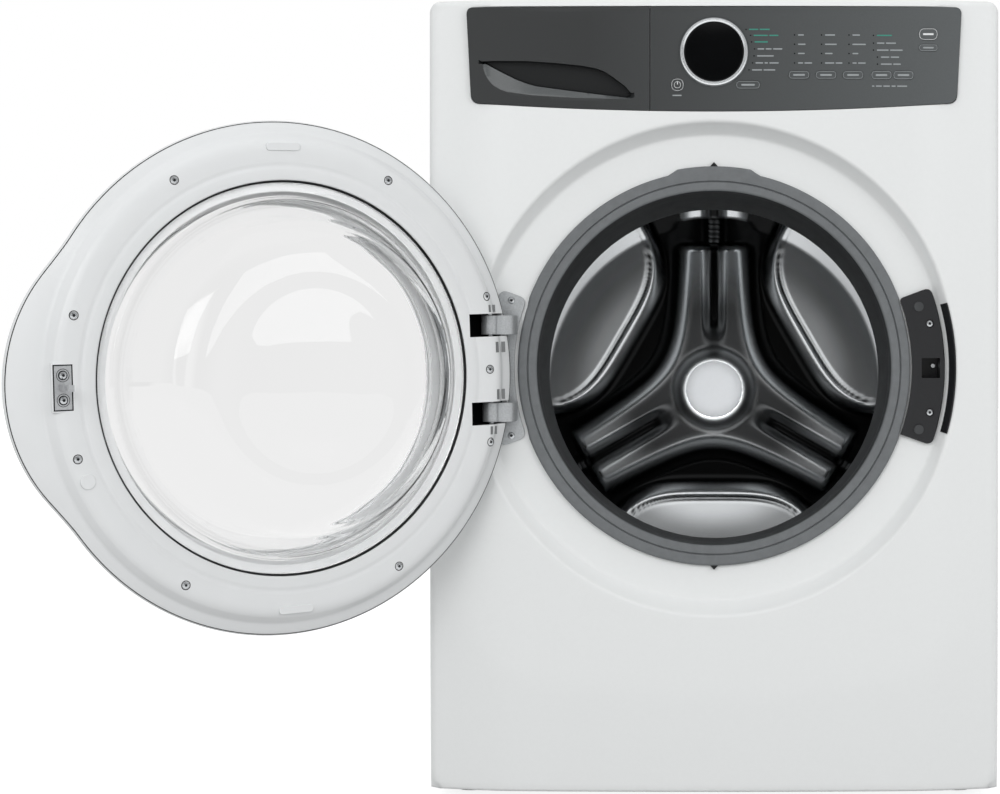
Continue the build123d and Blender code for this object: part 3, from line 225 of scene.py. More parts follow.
def soft_max(a, b, width):
    """The larger of two values, with a rounded corner where they cross."""
    h = max(width - abs(a - b), 0) / width
    return max(a, b) + h * h * width / 4


def soft_min(a, b, width):
    """The smaller of two values, with a rounded corner where they cross."""
    return -soft_max(-a, -b, width)


def between(points, x):
    """A value read off a list of (x, value) points along straight pieces."""
    if x <= points[0][0]:
        return points[0][1]
    for (x0, y0), (x1, y1) in zip(points, points[1:]):
        if x <= x1:
            return y0 + (y1 - y0) * (x - x0) / (x1 - x0)
    return points[-1][1]


def rounded(points, steps=4):
    """A closed outline of (x, y, corner radius) with its corners as arcs."""
    done = []
    for i, (x, y, radius) in enumerate(points):
        corner = Vector((x, y))
        before = Vector(points[i - 1][:2]) - corner
        after = Vector(points[(i + 1) % len(points)][:2]) - corner
        turn = before.angle(after)
        if radius <= 0 or abs(math.pi - turn) < 0.02:
            done.append((x, y))
            continue
        reach = min(radius / math.tan(turn / 2), 0.49 * before.length, 0.49 * after.length)
        start = corner + before.normalized() * reach
        end = corner + after.normalized() * reach
        for k in range(steps + 1):
            t = k / steps
            point = start * (1 - t) ** 2 + corner * 2 * t * (1 - t) + end * t * t
            done.append((point.x, point.y))
    return done


def turns(steps):
    """Evenly spaced angles once round."""
    return [2 * math.pi * i / steps for i in range(steps)]


def polar(r, turn):
    """A point on a circle."""
    return r * math.cos(turn), r * math.sin(turn)


def oblong(x0, x1, z0, z1, r, steps):
    """A rectangle with rounded corners."""
    return rounded([(x0, z0, r), (x1, z0, r), (x1, z1, r), (x0, z1, r)], steps)


def new_mesh(name, points, faces, place=None, closed=True):
    """A mesh in metres from points in millimetres, with its faces turned outwards if it is closed."""
    mesh = bpy.data.meshes.new(name)
    mesh.from_pydata([Vector(p) * MM for p in points], [], faces)
    if closed:
        turn_outwards(mesh)
    if place is not None:
        mesh.transform(place)
    return mesh


def turn_outwards(mesh):
    """Merges doubles and points a closed shell's faces outwards."""
    work = bmesh.new()
    work.from_mesh(mesh)
    bmesh.ops.remove_doubles(work, verts=work.verts, dist=1e-6)
    bmesh.ops.recalc_face_normals(work, faces=work.faces)
    work.to_mesh(mesh)
    work.free()


def add_piece(name, mesh, finish, body, stands_for=(), sharp=32, thick=None):
    """Links a finished mesh as a piece that rides on a body."""
    mesh.name = name
    if mesh.materials:
        mesh.materials.clear()
    for item in [finish] if isinstance(finish, str) else finish:
        mesh.materials.append(FINISHES[item])
    mesh.shade_smooth()
    mesh.set_sharp_from_angle(angle=math.radians(sharp))
    piece = bpy.data.objects.new(name, mesh)
    bpy.context.scene.collection.objects.link(piece)
    if thick:
        wall = piece.modifiers.new("wall", "SOLIDIFY")
        wall.thickness = thick * MM
        wall.offset = -1
    if body:
        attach(piece, body)
    if stands_for:
        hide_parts(*stands_for)
    return piece


def plain_mesh(piece):
    """The mesh that an object's modifiers give."""
    graph = bpy.context.evaluated_depsgraph_get()
    return bpy.data.meshes.new_from_object(piece.evaluated_get(graph))


def loops(rows, wrap_rows=True, wrap_points=True):
    """Points and faces of a skin drawn through rows of equal length."""
    count = len(rows[0])
    points = [p for row in rows for p in row]
    faces = []
    for i in range(len(rows) if wrap_rows else len(rows) - 1):
        j = (i + 1) % len(rows)
        for k in range(count if wrap_points else count - 1):
            m = (k + 1) % count
            faces.append((i * count + k, i * count + m, j * count + m, j * count + k))
    return points, faces


def lathe(outline, steps=200):
    """A ring about the Y axis from a closed outline of (radius, y)."""
    return loops([[(r * math.cos(t), y, r * math.sin(t)) for r, y in outline] for t in turns(steps)])


def prism(outline, y_front, y_back):
    """A flat outline in X and Z, closed into a block between two Y values."""
    count = len(outline)
    points = [(x, y_front, z) for x, z in outline] + [(x, y_back, z) for x, z in outline]
    faces = [tuple(range(count)), tuple(range(2 * count - 1, count - 1, -1))]
    for i in range(count):
        j = (i + 1) % count
        faces.append((i, i + count, j + count, j))
    return points, faces


def round_bar(x, z, radius, front, back, steps=28):
    """A short round bar along Y."""
    ring = [(x + radius * math.cos(t), z + radius * math.sin(t)) for t in turns(steps)]
    return prism(ring, front, back)


def joined(parts):
    """Several (points, faces) lists as one."""
    points, faces = [], []
    for some_points, some_faces in parts:
        start = len(points)
        points += list(some_points)
        faces += [tuple(start + i for i in face) for face in some_faces]
    return points, faces


# Finishes

def add_node(tree, kind, sockets=None, **settings):
    """Adds one node, sets its settings, and fills its sockets with values or links."""
    made = tree.nodes.new(kind)
    for key, value in settings.items():
        setattr(made, key, value)
    for key, value in (sockets or {}).items():
        socket = made.inputs[key]
        if isinstance(value, bpy.types.NodeSocket):
            tree.links.new(value, socket)
        else:
            socket.default_value = value
    return made


def worked_out(tree, operation, *values):
    """The result of one sum in a node tree."""
    return add_node(tree, "ShaderNodeMath", dict(enumerate(values)), operation=operation).outputs[0]


def scaled(tree, vector, scale):
    """A vector or a colour times a number in a node tree."""
    return add_node(tree, "ShaderNodeVectorMath", {0: vector, "Scale": scale}, operation="SCALE").outputs[0]


def new_tree(name, *inputs):
    """A tree that takes places and some named numbers and gives a mesh; returned with its given values."""
    tree = bpy.data.node_groups.new(name, "GeometryNodeTree")
    tree.interface.new_socket("Geometry", in_out="INPUT", socket_type="NodeSocketGeometry")
    for label in inputs:
        tree.interface.new_socket(label, in_out="INPUT", socket_type="NodeSocketFloat")
    tree.interface.new_socket("Geometry", in_out="OUTPUT", socket_type="NodeSocketGeometry")
    return tree, tree.nodes.new("NodeGroupInput").outputs


def set_out(tree, places, shape, rotation, finish):
    """Sets a shape out on places, makes the copies real and gives them a finish."""
    placed = add_node(tree, "GeometryNodeInstanceOnPoints", {
        "Points": places, "Instance": shape, "Rotation": rotation})
    real = add_node(tree, "GeometryNodeRealizeInstances", {0: placed.outputs[0]})
    painted = add_node(tree, "GeometryNodeSetMaterial", {
        "Geometry": real.outputs[0], "Material": FINISHES[finish]})
    return painted.outputs[0]


def grown(tree, places, values):
    """The plain mesh that a tree grows on places in millimetres, its named inputs set on the modifier."""
    seed = bpy.data.meshes.new(tree.name)
    seed.from_pydata([Vector(p) * MM for p in places], [], [])
    carrier = bpy.data.objects.new(tree.name, seed)
    bpy.context.scene.collection.objects.link(carrier)
    grower = carrier.modifiers.new(tree.name, "NODES")
    grower.node_group = tree
    for socket in tree.interface.items_tree:
        if socket.in_out == "INPUT" and socket.name in values:
            grower[socket.identifier] = values[socket.name]
    mesh = plain_mesh(carrier)
    bpy.data.objects.remove(carrier)
    return mesh


def new_finish(name, **values):
    """An empty material with its main shader's plain values set."""
    finish = bpy.data.materials.new(name)
    finish.use_nodes = True
    skin = finish.node_tree.nodes["Principled BSDF"]
    for key, value in values.items():
        skin.inputs[key.replace("_", " ").title().replace("Ior", "IOR")].default_value = value
    return finish, finish.node_tree, skin


def grain(tree, skin, colour, size, spread, bump, reach=0.1, stretch=(1, 1, 1), detail=3.0):
    """Mottles a colour and raises a fine bump at one real size in millimetres."""
    where = add_node(tree, "ShaderNodeTexCoord")
    turned = add_node(tree, "ShaderNodeMapping", {"Vector": where.outputs["Object"], "Scale": stretch})
    noise = add_node(tree, "ShaderNodeTexNoise", {
        "Vector": turned.outputs["Vector"], "Scale": per_mm(size), "Detail": detail, "Roughness": 0.55})
    ramp = add_node(tree, "ShaderNodeValToRGB", {"Fac": noise.outputs["Fac"]})
    low = [max(c * (1 - spread), 0) for c in colour[:3]]
    high = [min(c * (1 + spread), 1) for c in colour[:3]]
    ramp.color_ramp.elements[0].position = 0.3
    ramp.color_ramp.elements[0].color = (*low, 1)
    ramp.color_ramp.elements[1].position = 0.7
    ramp.color_ramp.elements[1].color = (*high, 1)
    tree.links.new(ramp.outputs["Color"], skin.inputs["Base Color"])
    lift = add_node(tree, "ShaderNodeBump", {
        "Strength": bump, "Distance": reach * MM, "Height": noise.outputs["Fac"]})
    tree.links.new(lift.outputs["Normal"], skin.inputs["Normal"])
    return ramp.outputs["Color"]


def grained(name, *look, stretch=(1, 1, 1), detail=3.0, **values):
    """A finish of one colour with its grain."""
    finish, tree, skin = new_finish(name, **values)
    grain(tree, skin, *look, stretch=stretch, detail=detail)
    return finish


def white_enamel(colours):
    """Baked enamel on pressed steel: a clean gloss with a faint orange peel, drawn at 5 mm to show."""
    return grained("white_enamel", colours.enamel, 5, 0.006, 0.05, 0.08,
                   roughness=0.28, specular_ior_level=0.45)


def white_plastic(colours):
    """Injection moulded gloss ABS: smoother than the enamel, with slow sink marks."""
    return grained("white_plastic", colours.door, 40, 0.008, 0.04, 0.2,
                   roughness=0.22, specular_ior_level=0.5)


def fascia_plastic(colours):
    """Satin dark plastic of the control panel, spark eroded: a fine even tooth, and a painted sheen paler to the
    right.
    """
    finish, tree, skin = new_finish("fascia_plastic", roughness=0.36, specular_ior_level=0.5)
    toothed = grain(tree, skin, colours.fascia, 1.6, 0.05, 0.10, 0.05)
    # Painted sheen: the colour is scaled up from left to right along X.
    where = add_node(tree, "ShaderNodeTexCoord").outputs["Object"]
    across = add_node(tree, "ShaderNodeSeparateXYZ", {0: where}).outputs["X"]
    painted_sheen = add_node(tree, "ShaderNodeMapRange", {
        "Value": across, "From Min": -0.15, "From Max": 0.3, "To Min": 0.42, "To Max": 1.7}).outputs[0]
    tree.links.new(scaled(tree, toothed, painted_sheen), skin.inputs["Base Color"])
    return finish


def scoop_lip(colours):
    """The same plastic polished on the scoop's lip, coloured paler as a painted highlight where it catches the
    light.
    """
    return grained("scoop_lip", linear("#585b5c"), 1.6, 0.04, 0.05, 0.05,
                   roughness=0.25, specular_ior_level=0.6)


def scoop_shade(colours):
    """The deep hollow of the scoop, nearly black in its own shade."""
    return grained("scoop_shade", linear("#141617"), 1.6, 0.05, 0.10, 0.05,
                   roughness=0.5, specular_ior_level=0.3)


def slot_shade(colours):
    """The shaded floor of small slots in white plastic: mid grey, so that they read as shallow."""
    return grained("slot_shade", linear("#77797a"), 2.0, 0.08, 0.10, 0.05,
                   roughness=0.6, specular_ior_level=0.3)


def recess_shade(colours):
    """The recess in a screw's head, near black because little light gets in."""
    return grained("recess_shade", linear("#202224"), 1.0, 0.08, 0.10, 0.05,
                   roughness=0.6, specular_ior_level=0.2)


def strike_zinc(colours):
    """Dull grey zinc of the strike."""
    return grained("strike_zinc", linear("#b4b6b8"), 2.4, 0.10, 0.08, 0.05, metallic=0.5, roughness=0.5)


def gasket_rubber(colours):
    """Grey moulded EPDM: matt, slightly blotched with bloom."""
    return grained("gasket_rubber", colours.gasket, 9, 0.07, 0.10, 0.15,
                   roughness=0.52, specular_ior_level=0.35)


def gasket_shade(colours):
    """The same EPDM inside the bellows, made darker as painted shade; also the lock bumps' own dark grey."""
    return grained("gasket_shade", [c * 0.34 for c in colours.gasket[:3]], 14, 0.14, 0.12, 0.2,
                   roughness=0.55, specular_ior_level=0.3)


def black_plastic(colours):
    """Glass-filled nylon, moulded black: satin with a fine tooth."""
    return grained("black_plastic", colours.black, 2.2, 0.18, 0.12, 0.06,
                   roughness=0.42, specular_ior_level=0.45)


def black_rubber(colours):
    """Black EPDM of seals, hoses and foot pads: matt."""
    return grained("black_rubber", linear("#1c1d1e"), 3, 0.2, 0.15, 0.1,
                   roughness=0.7, specular_ior_level=0.3)


def polished_stainless(colours):
    """Bright annealed stainless of the drum: nearly a mirror, with slow waves from pressing."""
    return grained("polished_stainless", colours.steel, 60, 0.03, 0.05, 0.6, metallic=1.0, roughness=0.16)


def pressed_stainless(colours):
    """Bright annealed stainless of the drum back: soft mirror forms, hollows near black by painted shade."""
    finish, tree, skin = new_finish("pressed_stainless", metallic=1.0, roughness=0.22)
    mottled = grain(tree, skin, colours.steel, 60, 0.03, 0.04, 0.6)
    tone = add_node(tree, "ShaderNodeAttribute", attribute_name="tone").outputs["Fac"]
    tree.links.new(scaled(tree, mottled, tone), skin.inputs["Base Color"])
    return finish


def satin_cap(colours):
    """Satin anodised aluminium of the hub cap: a pale, even disc."""
    return grained("satin_cap", linear("#f3f6f9"), 6, 0.01, 0.03, 0.05,
                   roughness=0.6, specular_ior_level=0.2)


def satin_zinc(colours):
    """Thick passivated zinc of the hinge: pale, speckled and dull."""
    return grained("satin_zinc", linear("#b2b5b7"), 1.8, 0.12, 0.10, 0.05, metallic=0.55, roughness=0.42)


def rolled_stainless(colours):
    """Rolled stainless of the drum's wall: fine scratches run round it, drawn at 3 mm so that they show."""
    return grained("rolled_stainless", colours.steel, 3, 0.06, 0.06, 0.05, stretch=(0.2, 1, 0.2),
                   metallic=1.0, roughness=0.3)


def bright_steel(colours):
    """Zinc-plated steel of screws and small fittings: bright with a slight grain."""
    return grained("bright_steel", linear("#b9bcbe"), 4, 0.06, 0.05, 0.05, metallic=1.0, roughness=0.24)


def chrome_plate(colours):
    """Satin chrome plate of the display ring."""
    return grained("chrome_plate", linear("#d5d8da"), 12, 0.02, 0.02, 0.05, metallic=1.0, roughness=0.24)


def galvanised_sheet(colours):
    """Hot-dip galvanised sheet: grey with spangles about 12 mm across."""
    finish, tree, skin = new_finish("galvanised_sheet", metallic=0.85, roughness=0.45)
    where = add_node(tree, "ShaderNodeTexCoord")
    cells = add_node(tree, "ShaderNodeTexVoronoi", {"Vector": where.outputs["Object"], "Scale": per_mm(12)})
    ramp = add_node(tree, "ShaderNodeValToRGB", {"Fac": cells.outputs["Color"]})
    ramp.color_ramp.elements[0].color = linear("#989c9f")
    ramp.color_ramp.elements[1].color = linear("#aeb2b5")
    tree.links.new(ramp.outputs["Color"], skin.inputs["Base Color"])
    lift = add_node(tree, "ShaderNodeBump", {
        "Strength": 0.08, "Distance": 0.1 * MM, "Height": cells.outputs["Distance"]})
    tree.links.new(lift.outputs["Normal"], skin.inputs["Normal"])
    return finish


def cast_aluminium(colours):
    """Die-cast aluminium: pale grey, rough from the mould."""
    return grained("cast_aluminium", linear("#a9acae"), 3, 0.08, 0.3, 0.2, metallic=0.9, roughness=0.5)


def plain_steel(colours):
    """Ground steel of rods, springs and bearings."""
    return grained("plain_steel", linear("#9fa3a6"), 2, 0.08, 0.08, 0.05, metallic=1.0, roughness=0.35)


def tub_plastic(colours):
    """Talc-filled polypropylene of the tub: matt grey-white."""
    return grained("tub_plastic", linear("#b9bcbd"), 6, 0.05, 0.15, 0.15,
                   roughness=0.6, specular_ior_level=0.35)


def tray_plastic(colours):
    """Moulded polypropylene of the detergent tray."""
    return grained("tray_plastic", linear("#cdd0d2"), 8, 0.02, 0.05, 0.1,
                   roughness=0.4, specular_ior_level=0.4)


def lifter_plastic(colours):
    """Dark moulded polypropylene of the drum's lifters."""
    return grained("lifter_plastic", linear("#1b1c1e"), 5, 0.08, 0.08, 0.1,
                   roughness=0.38, specular_ior_level=0.45)


def cast_concrete(colours):
    """Cast concrete of the counterweights, with pores."""
    return grained("cast_concrete", linear("#8a8883"), 7, 0.18, 0.5, 0.6, detail=6.0,
                   roughness=0.85, specular_ior_level=0.2)


def circuit_board(colours):
    """Solder mask green over copper tracks."""
    return grained("circuit_board", linear("#1f5a35"), 4, 0.3, 0.1, 0.05, roughness=0.4)


def lens_black(colours):
    """The display's smoked acrylic: black and polished."""
    return grained("lens_black", linear("#060708"), 30, 0.2, 0.01, 0.05,
                   roughness=0.07, specular_ior_level=0.5)


def clear_finish(name, ior, wave, strength, depth):
    """Clear stuff with slow waves, which lets lamp light through and so casts no shadow."""
    finish, tree, skin = new_finish(name, roughness=0.0, ior=ior, transmission_weight=1.0)
    skin.inputs["Base Color"].default_value = (1, 1, 1, 1)
    where = add_node(tree, "ShaderNodeTexCoord")
    noise = add_node(tree, "ShaderNodeTexNoise", {"Vector": where.outputs["Object"], "Scale": per_mm(wave)})
    lift = add_node(tree, "ShaderNodeBump", {
        "Strength": strength, "Distance": depth * MM, "Height": noise.outputs["Fac"]})
    tree.links.new(lift.outputs["Normal"], skin.inputs["Normal"])
    path = add_node(tree, "ShaderNodeLightPath")
    clear = add_node(tree, "ShaderNodeBsdfTransparent")
    either = add_node(tree, "ShaderNodeMixShader", {
        0: path.outputs["Is Shadow Ray"], 1: skin.outputs[0], 2: clear.outputs[0]})
    tree.links.new(either.outputs[0], tree.nodes["Material Output"].inputs["Surface"])
    return finish


def bowl_glass(colours):
    """Pressed borosilicate of the door's bowl: clear, with slow waves from the mould."""
    return clear_finish("bowl_glass", 1.47, 70, 0.05, 0.4)


def clear_window(colours):
    """Clear polycarbonate of the door's outer window, thin to the eye."""
    return clear_finish("clear_window", 1.2, 90, 0.03, 0.3)


def pale_print(colours):
    """Pale pad-printed ink of the panel's marks."""
    return grained("pale_print", linear("#979c9e"), 1.5, 0.06, 0.02, 0.02, roughness=0.5)


def white_print(colours):
    """Whiter ink of the power and start marks."""
    return grained("white_print", linear("#dfe2e3"), 1.5, 0.04, 0.02, 0.02, roughness=0.5)


def teal_print(colours):
    """Teal pad-printed ink of the first marks in each list."""
    return grained("teal_print", linear("#338878"), 1.5, 0.06, 0.02, 0.02, roughness=0.5)


def hole_black(colours):
    """Painted shade: the near black of small holes, gaps and pockets where little light gets in."""
    return grained("hole_black", linear("#0b0c0d"), 3, 0.3, 0.02, 0.02,
                   roughness=0.9, specular_ior_level=0.1)


FINISH_MAKERS = (
    white_enamel, white_plastic, fascia_plastic, scoop_lip, slot_shade, recess_shade, strike_zinc,
    scoop_shade, gasket_rubber, gasket_shade, black_plastic, black_rubber, polished_stainless,
    pressed_stainless, satin_cap, satin_zinc, rolled_stainless, bright_steel, chrome_plate,
    galvanised_sheet, cast_aluminium, plain_steel, tub_plastic, tray_plastic, lifter_plastic,
    cast_concrete, circuit_board, lens_black, bowl_glass, clear_window, pale_print, white_print,
    teal_print, hole_black,
)
FINISHES = {}

# Slots of the record whose finish has another name, and nodes that have a finish of their own
FINISH_OF_SLOT = {
    "fascia_grey": "fascia_plastic", "bezel_chrome": "chrome_plate", "board_green": "circuit_board",
    "stainless": "polished_stainless", "weight_concrete": "cast_concrete",
}
FINISH_OF_NODE = {"door_strike": "strike_zinc"}


def finish_solids(colours):
    """Makes every finish and gives each carried-over node its own."""
    for maker in FINISH_MAKERS:
        FINISHES[maker.__name__] = maker(colours)
    for part in frame["record"]["subparts"]:
        node = frame["nodes"][part["node"]]
        node.data.materials.clear()
        slot = part["material_slot"]
        finish = FINISH_OF_NODE.get(part["node"], FINISH_OF_SLOT.get(slot, slot))
        node.data.materials.append(FINISHES[finish])


# Cabinet front

def base_y(x):
    """The bowed front outside the raised pad."""
    return SIDE_Y - BOW * (1 - (x / HALF_W) ** 2)


def pad_y(x):
    """The raised pad's surface."""
    return PAD_Y + (PAD_EDGE_Y - PAD_Y) * (x / PAD_HALF_W) ** 2


def pad_inside(x, z):
    """How far a point lies inside the pad's rounded outline, whose lower edge hangs lower in the middle."""
    side = abs(x) - (PAD_HALF_W - PAD_CORNER_R)
    low = PAD_LOW_Z + PAD_SAG * min(x / PAD_HALF_W, 1) ** 2 + PAD_CORNER_R - z
    outside = math.hypot(max(side, 0), max(low, 0))
    return PAD_CORNER_R - outside - min(max(side, low), 0)


def edge_drop(distance, radius):
    """How far a rounded edge falls away at this distance from the outline."""
    t = max(1 - distance / radius, 0)
    return radius * (1 - math.sqrt(max(1 - t * t, 0)))


def front_y(x, z):
    """The front skin's depth: bow, pad, round recess and rounded edges."""
    y = pad_y(x) + (base_y(x) - pad_y(x)) * ease(HALF_W - SIDE_FALL_W, HALF_W, abs(x))
    y += APRON_LEAN * soft_max(-pad_inside(x, z), 0, PAD_BLEND) * ease(*APRON_FADE_Z, z)
    r = math.hypot(x, z - CENTRE_Z)
    slope = (FLOOR_Y - PAD_Y) / (RECESS_R - RECESS_FLOOR_R)
    wall = soft_min(FLOOR_Y, FLOOR_Y - slope * (r - RECESS_FLOOR_R), PRESS_BLEND)
    y = soft_max(y, wall, PRESS_BLEND)
    y += edge_drop(HALF_W - abs(x), SIDE_EDGE_R) + edge_drop(TOP_Z - z, TOP_EDGE_R)
    y += edge_drop(z - BASE_Z, LOW_EDGE_R)
    return min(y, PAN_BACK_Y)


def arc_points(x, z, radius, start, stop, steps):
    """Points on an arc in X and Z, angles in degrees."""
    sweep = [math.radians(start + (stop - start) * i / steps) for i in range(steps + 1)]
    return [(x + radius * math.cos(t), z + radius * math.sin(t)) for t in sweep]


def spaced(start, stop, step):
    """Evenly spaced values from start to stop."""
    count = max(1, round(abs(stop - start) / step))
    return [start + (stop - start) * i / count for i in range(count + 1)]


def console_edge(x, inset):
    """The height of the control panel's bowed lower edge at one X."""
    span = CONSOLE_HALF_W - 6
    return CONSOLE_MID_Z + (CONSOLE_END_Z - CONSOLE_MID_Z) * (x / span) ** 2 + inset


def console_outline(left, right, inset, low_r=12, top_r=8):
    """The control panel's outline between two X values; only the panel's own ends are rounded."""
    lean = 6 / (CONSOLE_TOP_Z - CONSOLE_END_Z)
    ends = []
    for x in (left, right):
        outer = abs(x) > CONSOLE_HALF_W - 5
        sign = 1 if x > 0 else -1
        x_low = x - sign * lean * (CONSOLE_TOP_Z - CONSOLE_END_Z) if outer else x
        ends.append((x_low, x, low_r if outer else 0.8, top_r if outer else 0.8))
    (xl, xtl, rl, rtl), (xr, xtr, rr, rtr) = ends
    low = [(x, console_edge(x, inset), 0) for x in spaced(xl + 2.1 * rl, xr - 2.1 * rr, 10)]
    corners = [(xr, console_edge(xr, inset), rr), (xtr, CONSOLE_TOP_Z - inset, rtr)]
    corners += [(xtl, CONSOLE_TOP_Z - inset, rtl), (xl, console_edge(xl, inset), rl)]
    return rounded(low + corners, 6)


def inside_outline(outline, x, z):
    """Whether a point lies inside a closed outline."""
    odd = False
    for (x0, z0), (x1, z1) in zip(outline, outline[1:] + outline[:1]):
        if (z0 > z) != (z1 > z) and x < x0 + (x1 - x0) * (z - z0) / (z1 - z0):
            odd = not odd
    return odd


def triangulated(lines, extra):
    """A triangle net that keeps the given lines; each line is (points, closed)."""
    points, edges = [], []
    for line, closed in lines:
        start = len(points)
        points += [Vector(p) for p in line]
        count = len(line)
        edges += [(start + i, start + (i + 1) % count) for i in range(count if closed else count - 1)]
    points += [Vector(p) for p in extra]
    net = delaunay_2d_cdt(points, edges, [], 0, 1e-4)
    return net[0], net[2]


def build_front_panel():
    """The bowed, pressed front with its recess, mouth and control panel opening."""
    corner = 16
    outline = [(x, BASE_Z) for x in spaced(-HALF_W, HALF_W, 12)]
    outline += [(HALF_W, z) for z in spaced(BASE_Z + 12, TOP_Z - corner - 8, 12)]
    outline += arc_points(HALF_W - corner, TOP_Z - corner, corner, 0, 90, 8)
    outline += [(x, TOP_Z) for x in spaced(HALF_W - corner - 8, -HALF_W + corner + 8, 12)]
    outline += arc_points(-HALF_W + corner, TOP_Z - corner, corner, 90, 180, 8)
    outline += [(-HALF_W, z) for z in spaced(TOP_Z - corner - 8, BASE_Z + 12, 12)]
    hole = console_outline(-CONSOLE_HALF_W, CONSOLE_HALF_W, 0)
    lines = [(outline, True), (hole, True)]
    for r in PRESS_RINGS:
        lines.append((arc_points(0, CENTRE_Z, r, 0, 360 * (1 - 1 / 240), 239), True))
    x0, x1, half = LOCK_CUT
    low, high = CENTRE_Z - half, CENTRE_Z + half
    lines.append(([(x0, low), (x1, low), (x1, high), (x0, high)], True))
    for drop in (0.8, 2, 3.5, 5.5, 9):
        for sign in (-1, 1):
            x = sign * (HALF_W - drop)
            lines.append(([(x, z) for z in spaced(BASE_Z + 10, TOP_Z - corner, 12)], False))
    for z in (TOP_Z - 0.6, TOP_Z - 2, TOP_Z - 5, BASE_Z + 0.6, BASE_Z + 2, BASE_Z + 4):
        lines.append(([(x, z) for x in spaced(-HALF_W + corner, HALF_W - corner, 12)], False))
    extra = []
    for x in spaced(-HALF_W + 14, HALF_W - 14, 8):
        for z in spaced(BASE_Z + 10, TOP_Z - 8, 8):
            if math.hypot(x, z - CENTRE_Z) > 306:
                extra.append((x, z))
    flat, faces = triangulated(lines, extra)
    kept = []
    for face in faces:
        x = sum(flat[i].x for i in face) / len(face)
        z = sum(flat[i].y for i in face) / len(face)
        in_lock = x0 < x < x1 and low < z < high
        in_mouth = math.hypot(x, z - CENTRE_Z) < MOUTH_R - 0.2
        if inside_outline(outline, x, z) and not (in_lock or in_mouth or inside_outline(hole, x, z)):
            kept.append(tuple(face))
    points = [(p.x, front_y(p.x, p.y), p.y) for p in flat]
    mesh = new_mesh("front_panel_skin", points, kept, closed=False)
    work = bmesh.new()
    work.from_mesh(mesh)
    bmesh.ops.delete(work, geom=[v for v in work.verts if not v.link_faces], context="VERTS")
    rim = [e for e in work.edges if e.is_boundary]
    mouth = [e for e in rim if (e.verts[0].co - CENTRE).xz.length < (MOUTH_R + 2) * MM]
    near = 2 * MM
    outer = [
        e for e in rim
        if any(abs(abs(v.co.x) - HALF_W * MM) < near or v.co.z < BASE_Z * MM + near for v in e.verts)
        or all(v.co.z > (TOP_Z - corner - 1) * MM and (v.co.z > (CONSOLE_TOP_Z + 3) * MM
               or abs(v.co.x) > (CONSOLE_HALF_W + 10) * MM) for v in e.verts)
    ]
    inner = [e for e in rim if e not in mouth and e not in outer]
    for edges, back in ((outer, PAN_BACK_Y), (inner, None)):
        made = bmesh.ops.extrude_edge_only(work, edges=edges)["geom"]
        for v in (g for g in made if isinstance(g, bmesh.types.BMVert)):
            v.co.y = back * MM if back else v.co.y + 12 * MM
    work.to_mesh(mesh)
    work.free()
    add_piece("front_panel_skin", mesh, "white_enamel", "cabinet", ["front_panel"],
              sharp=40, thick=SHEET * 0.9)


# Gasket

def build_gasket():
    """The rubber bellows: a round bead in the recess, folds inside, and a cuff on the tilted tub."""
    y = FLOOR_Y
    bead = [
        (213, y - 5.8, 1.5), (215.4, y - 7.5, 1.5), (223.4, y - 7.4, 0.8), (224.5, y - 4.6, 0.4),
        (225.6, y - 7.4, 0.8), (236, y - 7.3, 2), (238, y - 5, 1.5), (238, y - 0.1, 0.3),
        (225.7, y - 0.1, 0.3), (225.7, y + 1.8, 0.3), (234, y + 1.8, 0.5), (234, y + 7, 1), (225.7, y + 8, 1),
    ]
    outer_folds = [(225, y + 22, 3), (219, y + 32, 3), (219, y + 36, 3), (226, y + 47, 3), (227, y + 56, 3)]
    cuff = [(234, 60, 2), (235.8, 66, 2), (235.8, 97.5, 1), (228.4, 97.5, 1), (228.4, 77, 2), (219.5, 83, 2)]
    lip = [(208.5, 108.5, 0.8), (205, 107.5, 0.8), (213, 74, 5), (216.5, 62, 5)]
    inner_folds = [(222, y + 56, 5), (220, y + 45, 4), (213.5, y + 36, 3), (213.5, y + 31, 3)]
    inner_folds += [(220, y + 21, 4), (218.5, y + 8, 4)]
    outline = rounded(bead + outer_folds + cuff + lip + inner_folds, 3)
    tilted = {(round(p[0], 3), round(p[1], 3)) for p in outline if p[1] > 0}
    rows = []
    for turn in turns(240):
        degrees = math.degrees(turn)
        tab = ease(13.2, 10.6, abs(degrees - 90))
        side = min(abs(degrees - 180), degrees, 360 - degrees)
        notch = ease(20.5, 18.5, side)
        row = []
        for r, y in outline:
            reach = r
            if y < FLOOR_Y and r > 234:
                reach += 5 * tab - 1.6 * notch
            point = Vector((reach * math.cos(turn), y, reach * math.sin(turn))) * MM
            place = TUB_PLACE if (round(r, 3), round(y, 3)) in tilted else FRONT_PLACE
            row.append((place @ point) / MM)
        rows.append(row)
    points, faces = loops(rows)
    mesh = new_mesh("gasket_bellows", points, faces)
    piece = add_piece("gasket_bellows", mesh, ["gasket_rubber", "gasket_shade"], None, ["gasket"],
                      sharp=50)
    # Faces deep inside the bellows get the darker finish: painted shade.
    for face in mesh.polygons:
        flat = (face.center - CENTRE).xz.length / MM
        deep = face.center.y / MM > FLOOR_Y - 4.5 and flat < 223.5
        face.material_index = 1 if deep else 0
    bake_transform(piece)
    marks = []
    for sign in (-1, 1):
        base = 237.5 if sign < 0 else 242.5
        tip = [(-5, sign * base), (5, sign * base), (0, sign * (base + 5.5))]
        marks.append(prism([(x, z + CENTRE_Z) for x, z in tip], FLOOR_Y - 5, FLOOR_Y - 0.2))
    mesh = new_mesh("gasket_pointers", *joined(marks))
    add_piece("gasket_pointers", mesh, "black_rubber", "cabinet")


# Drum

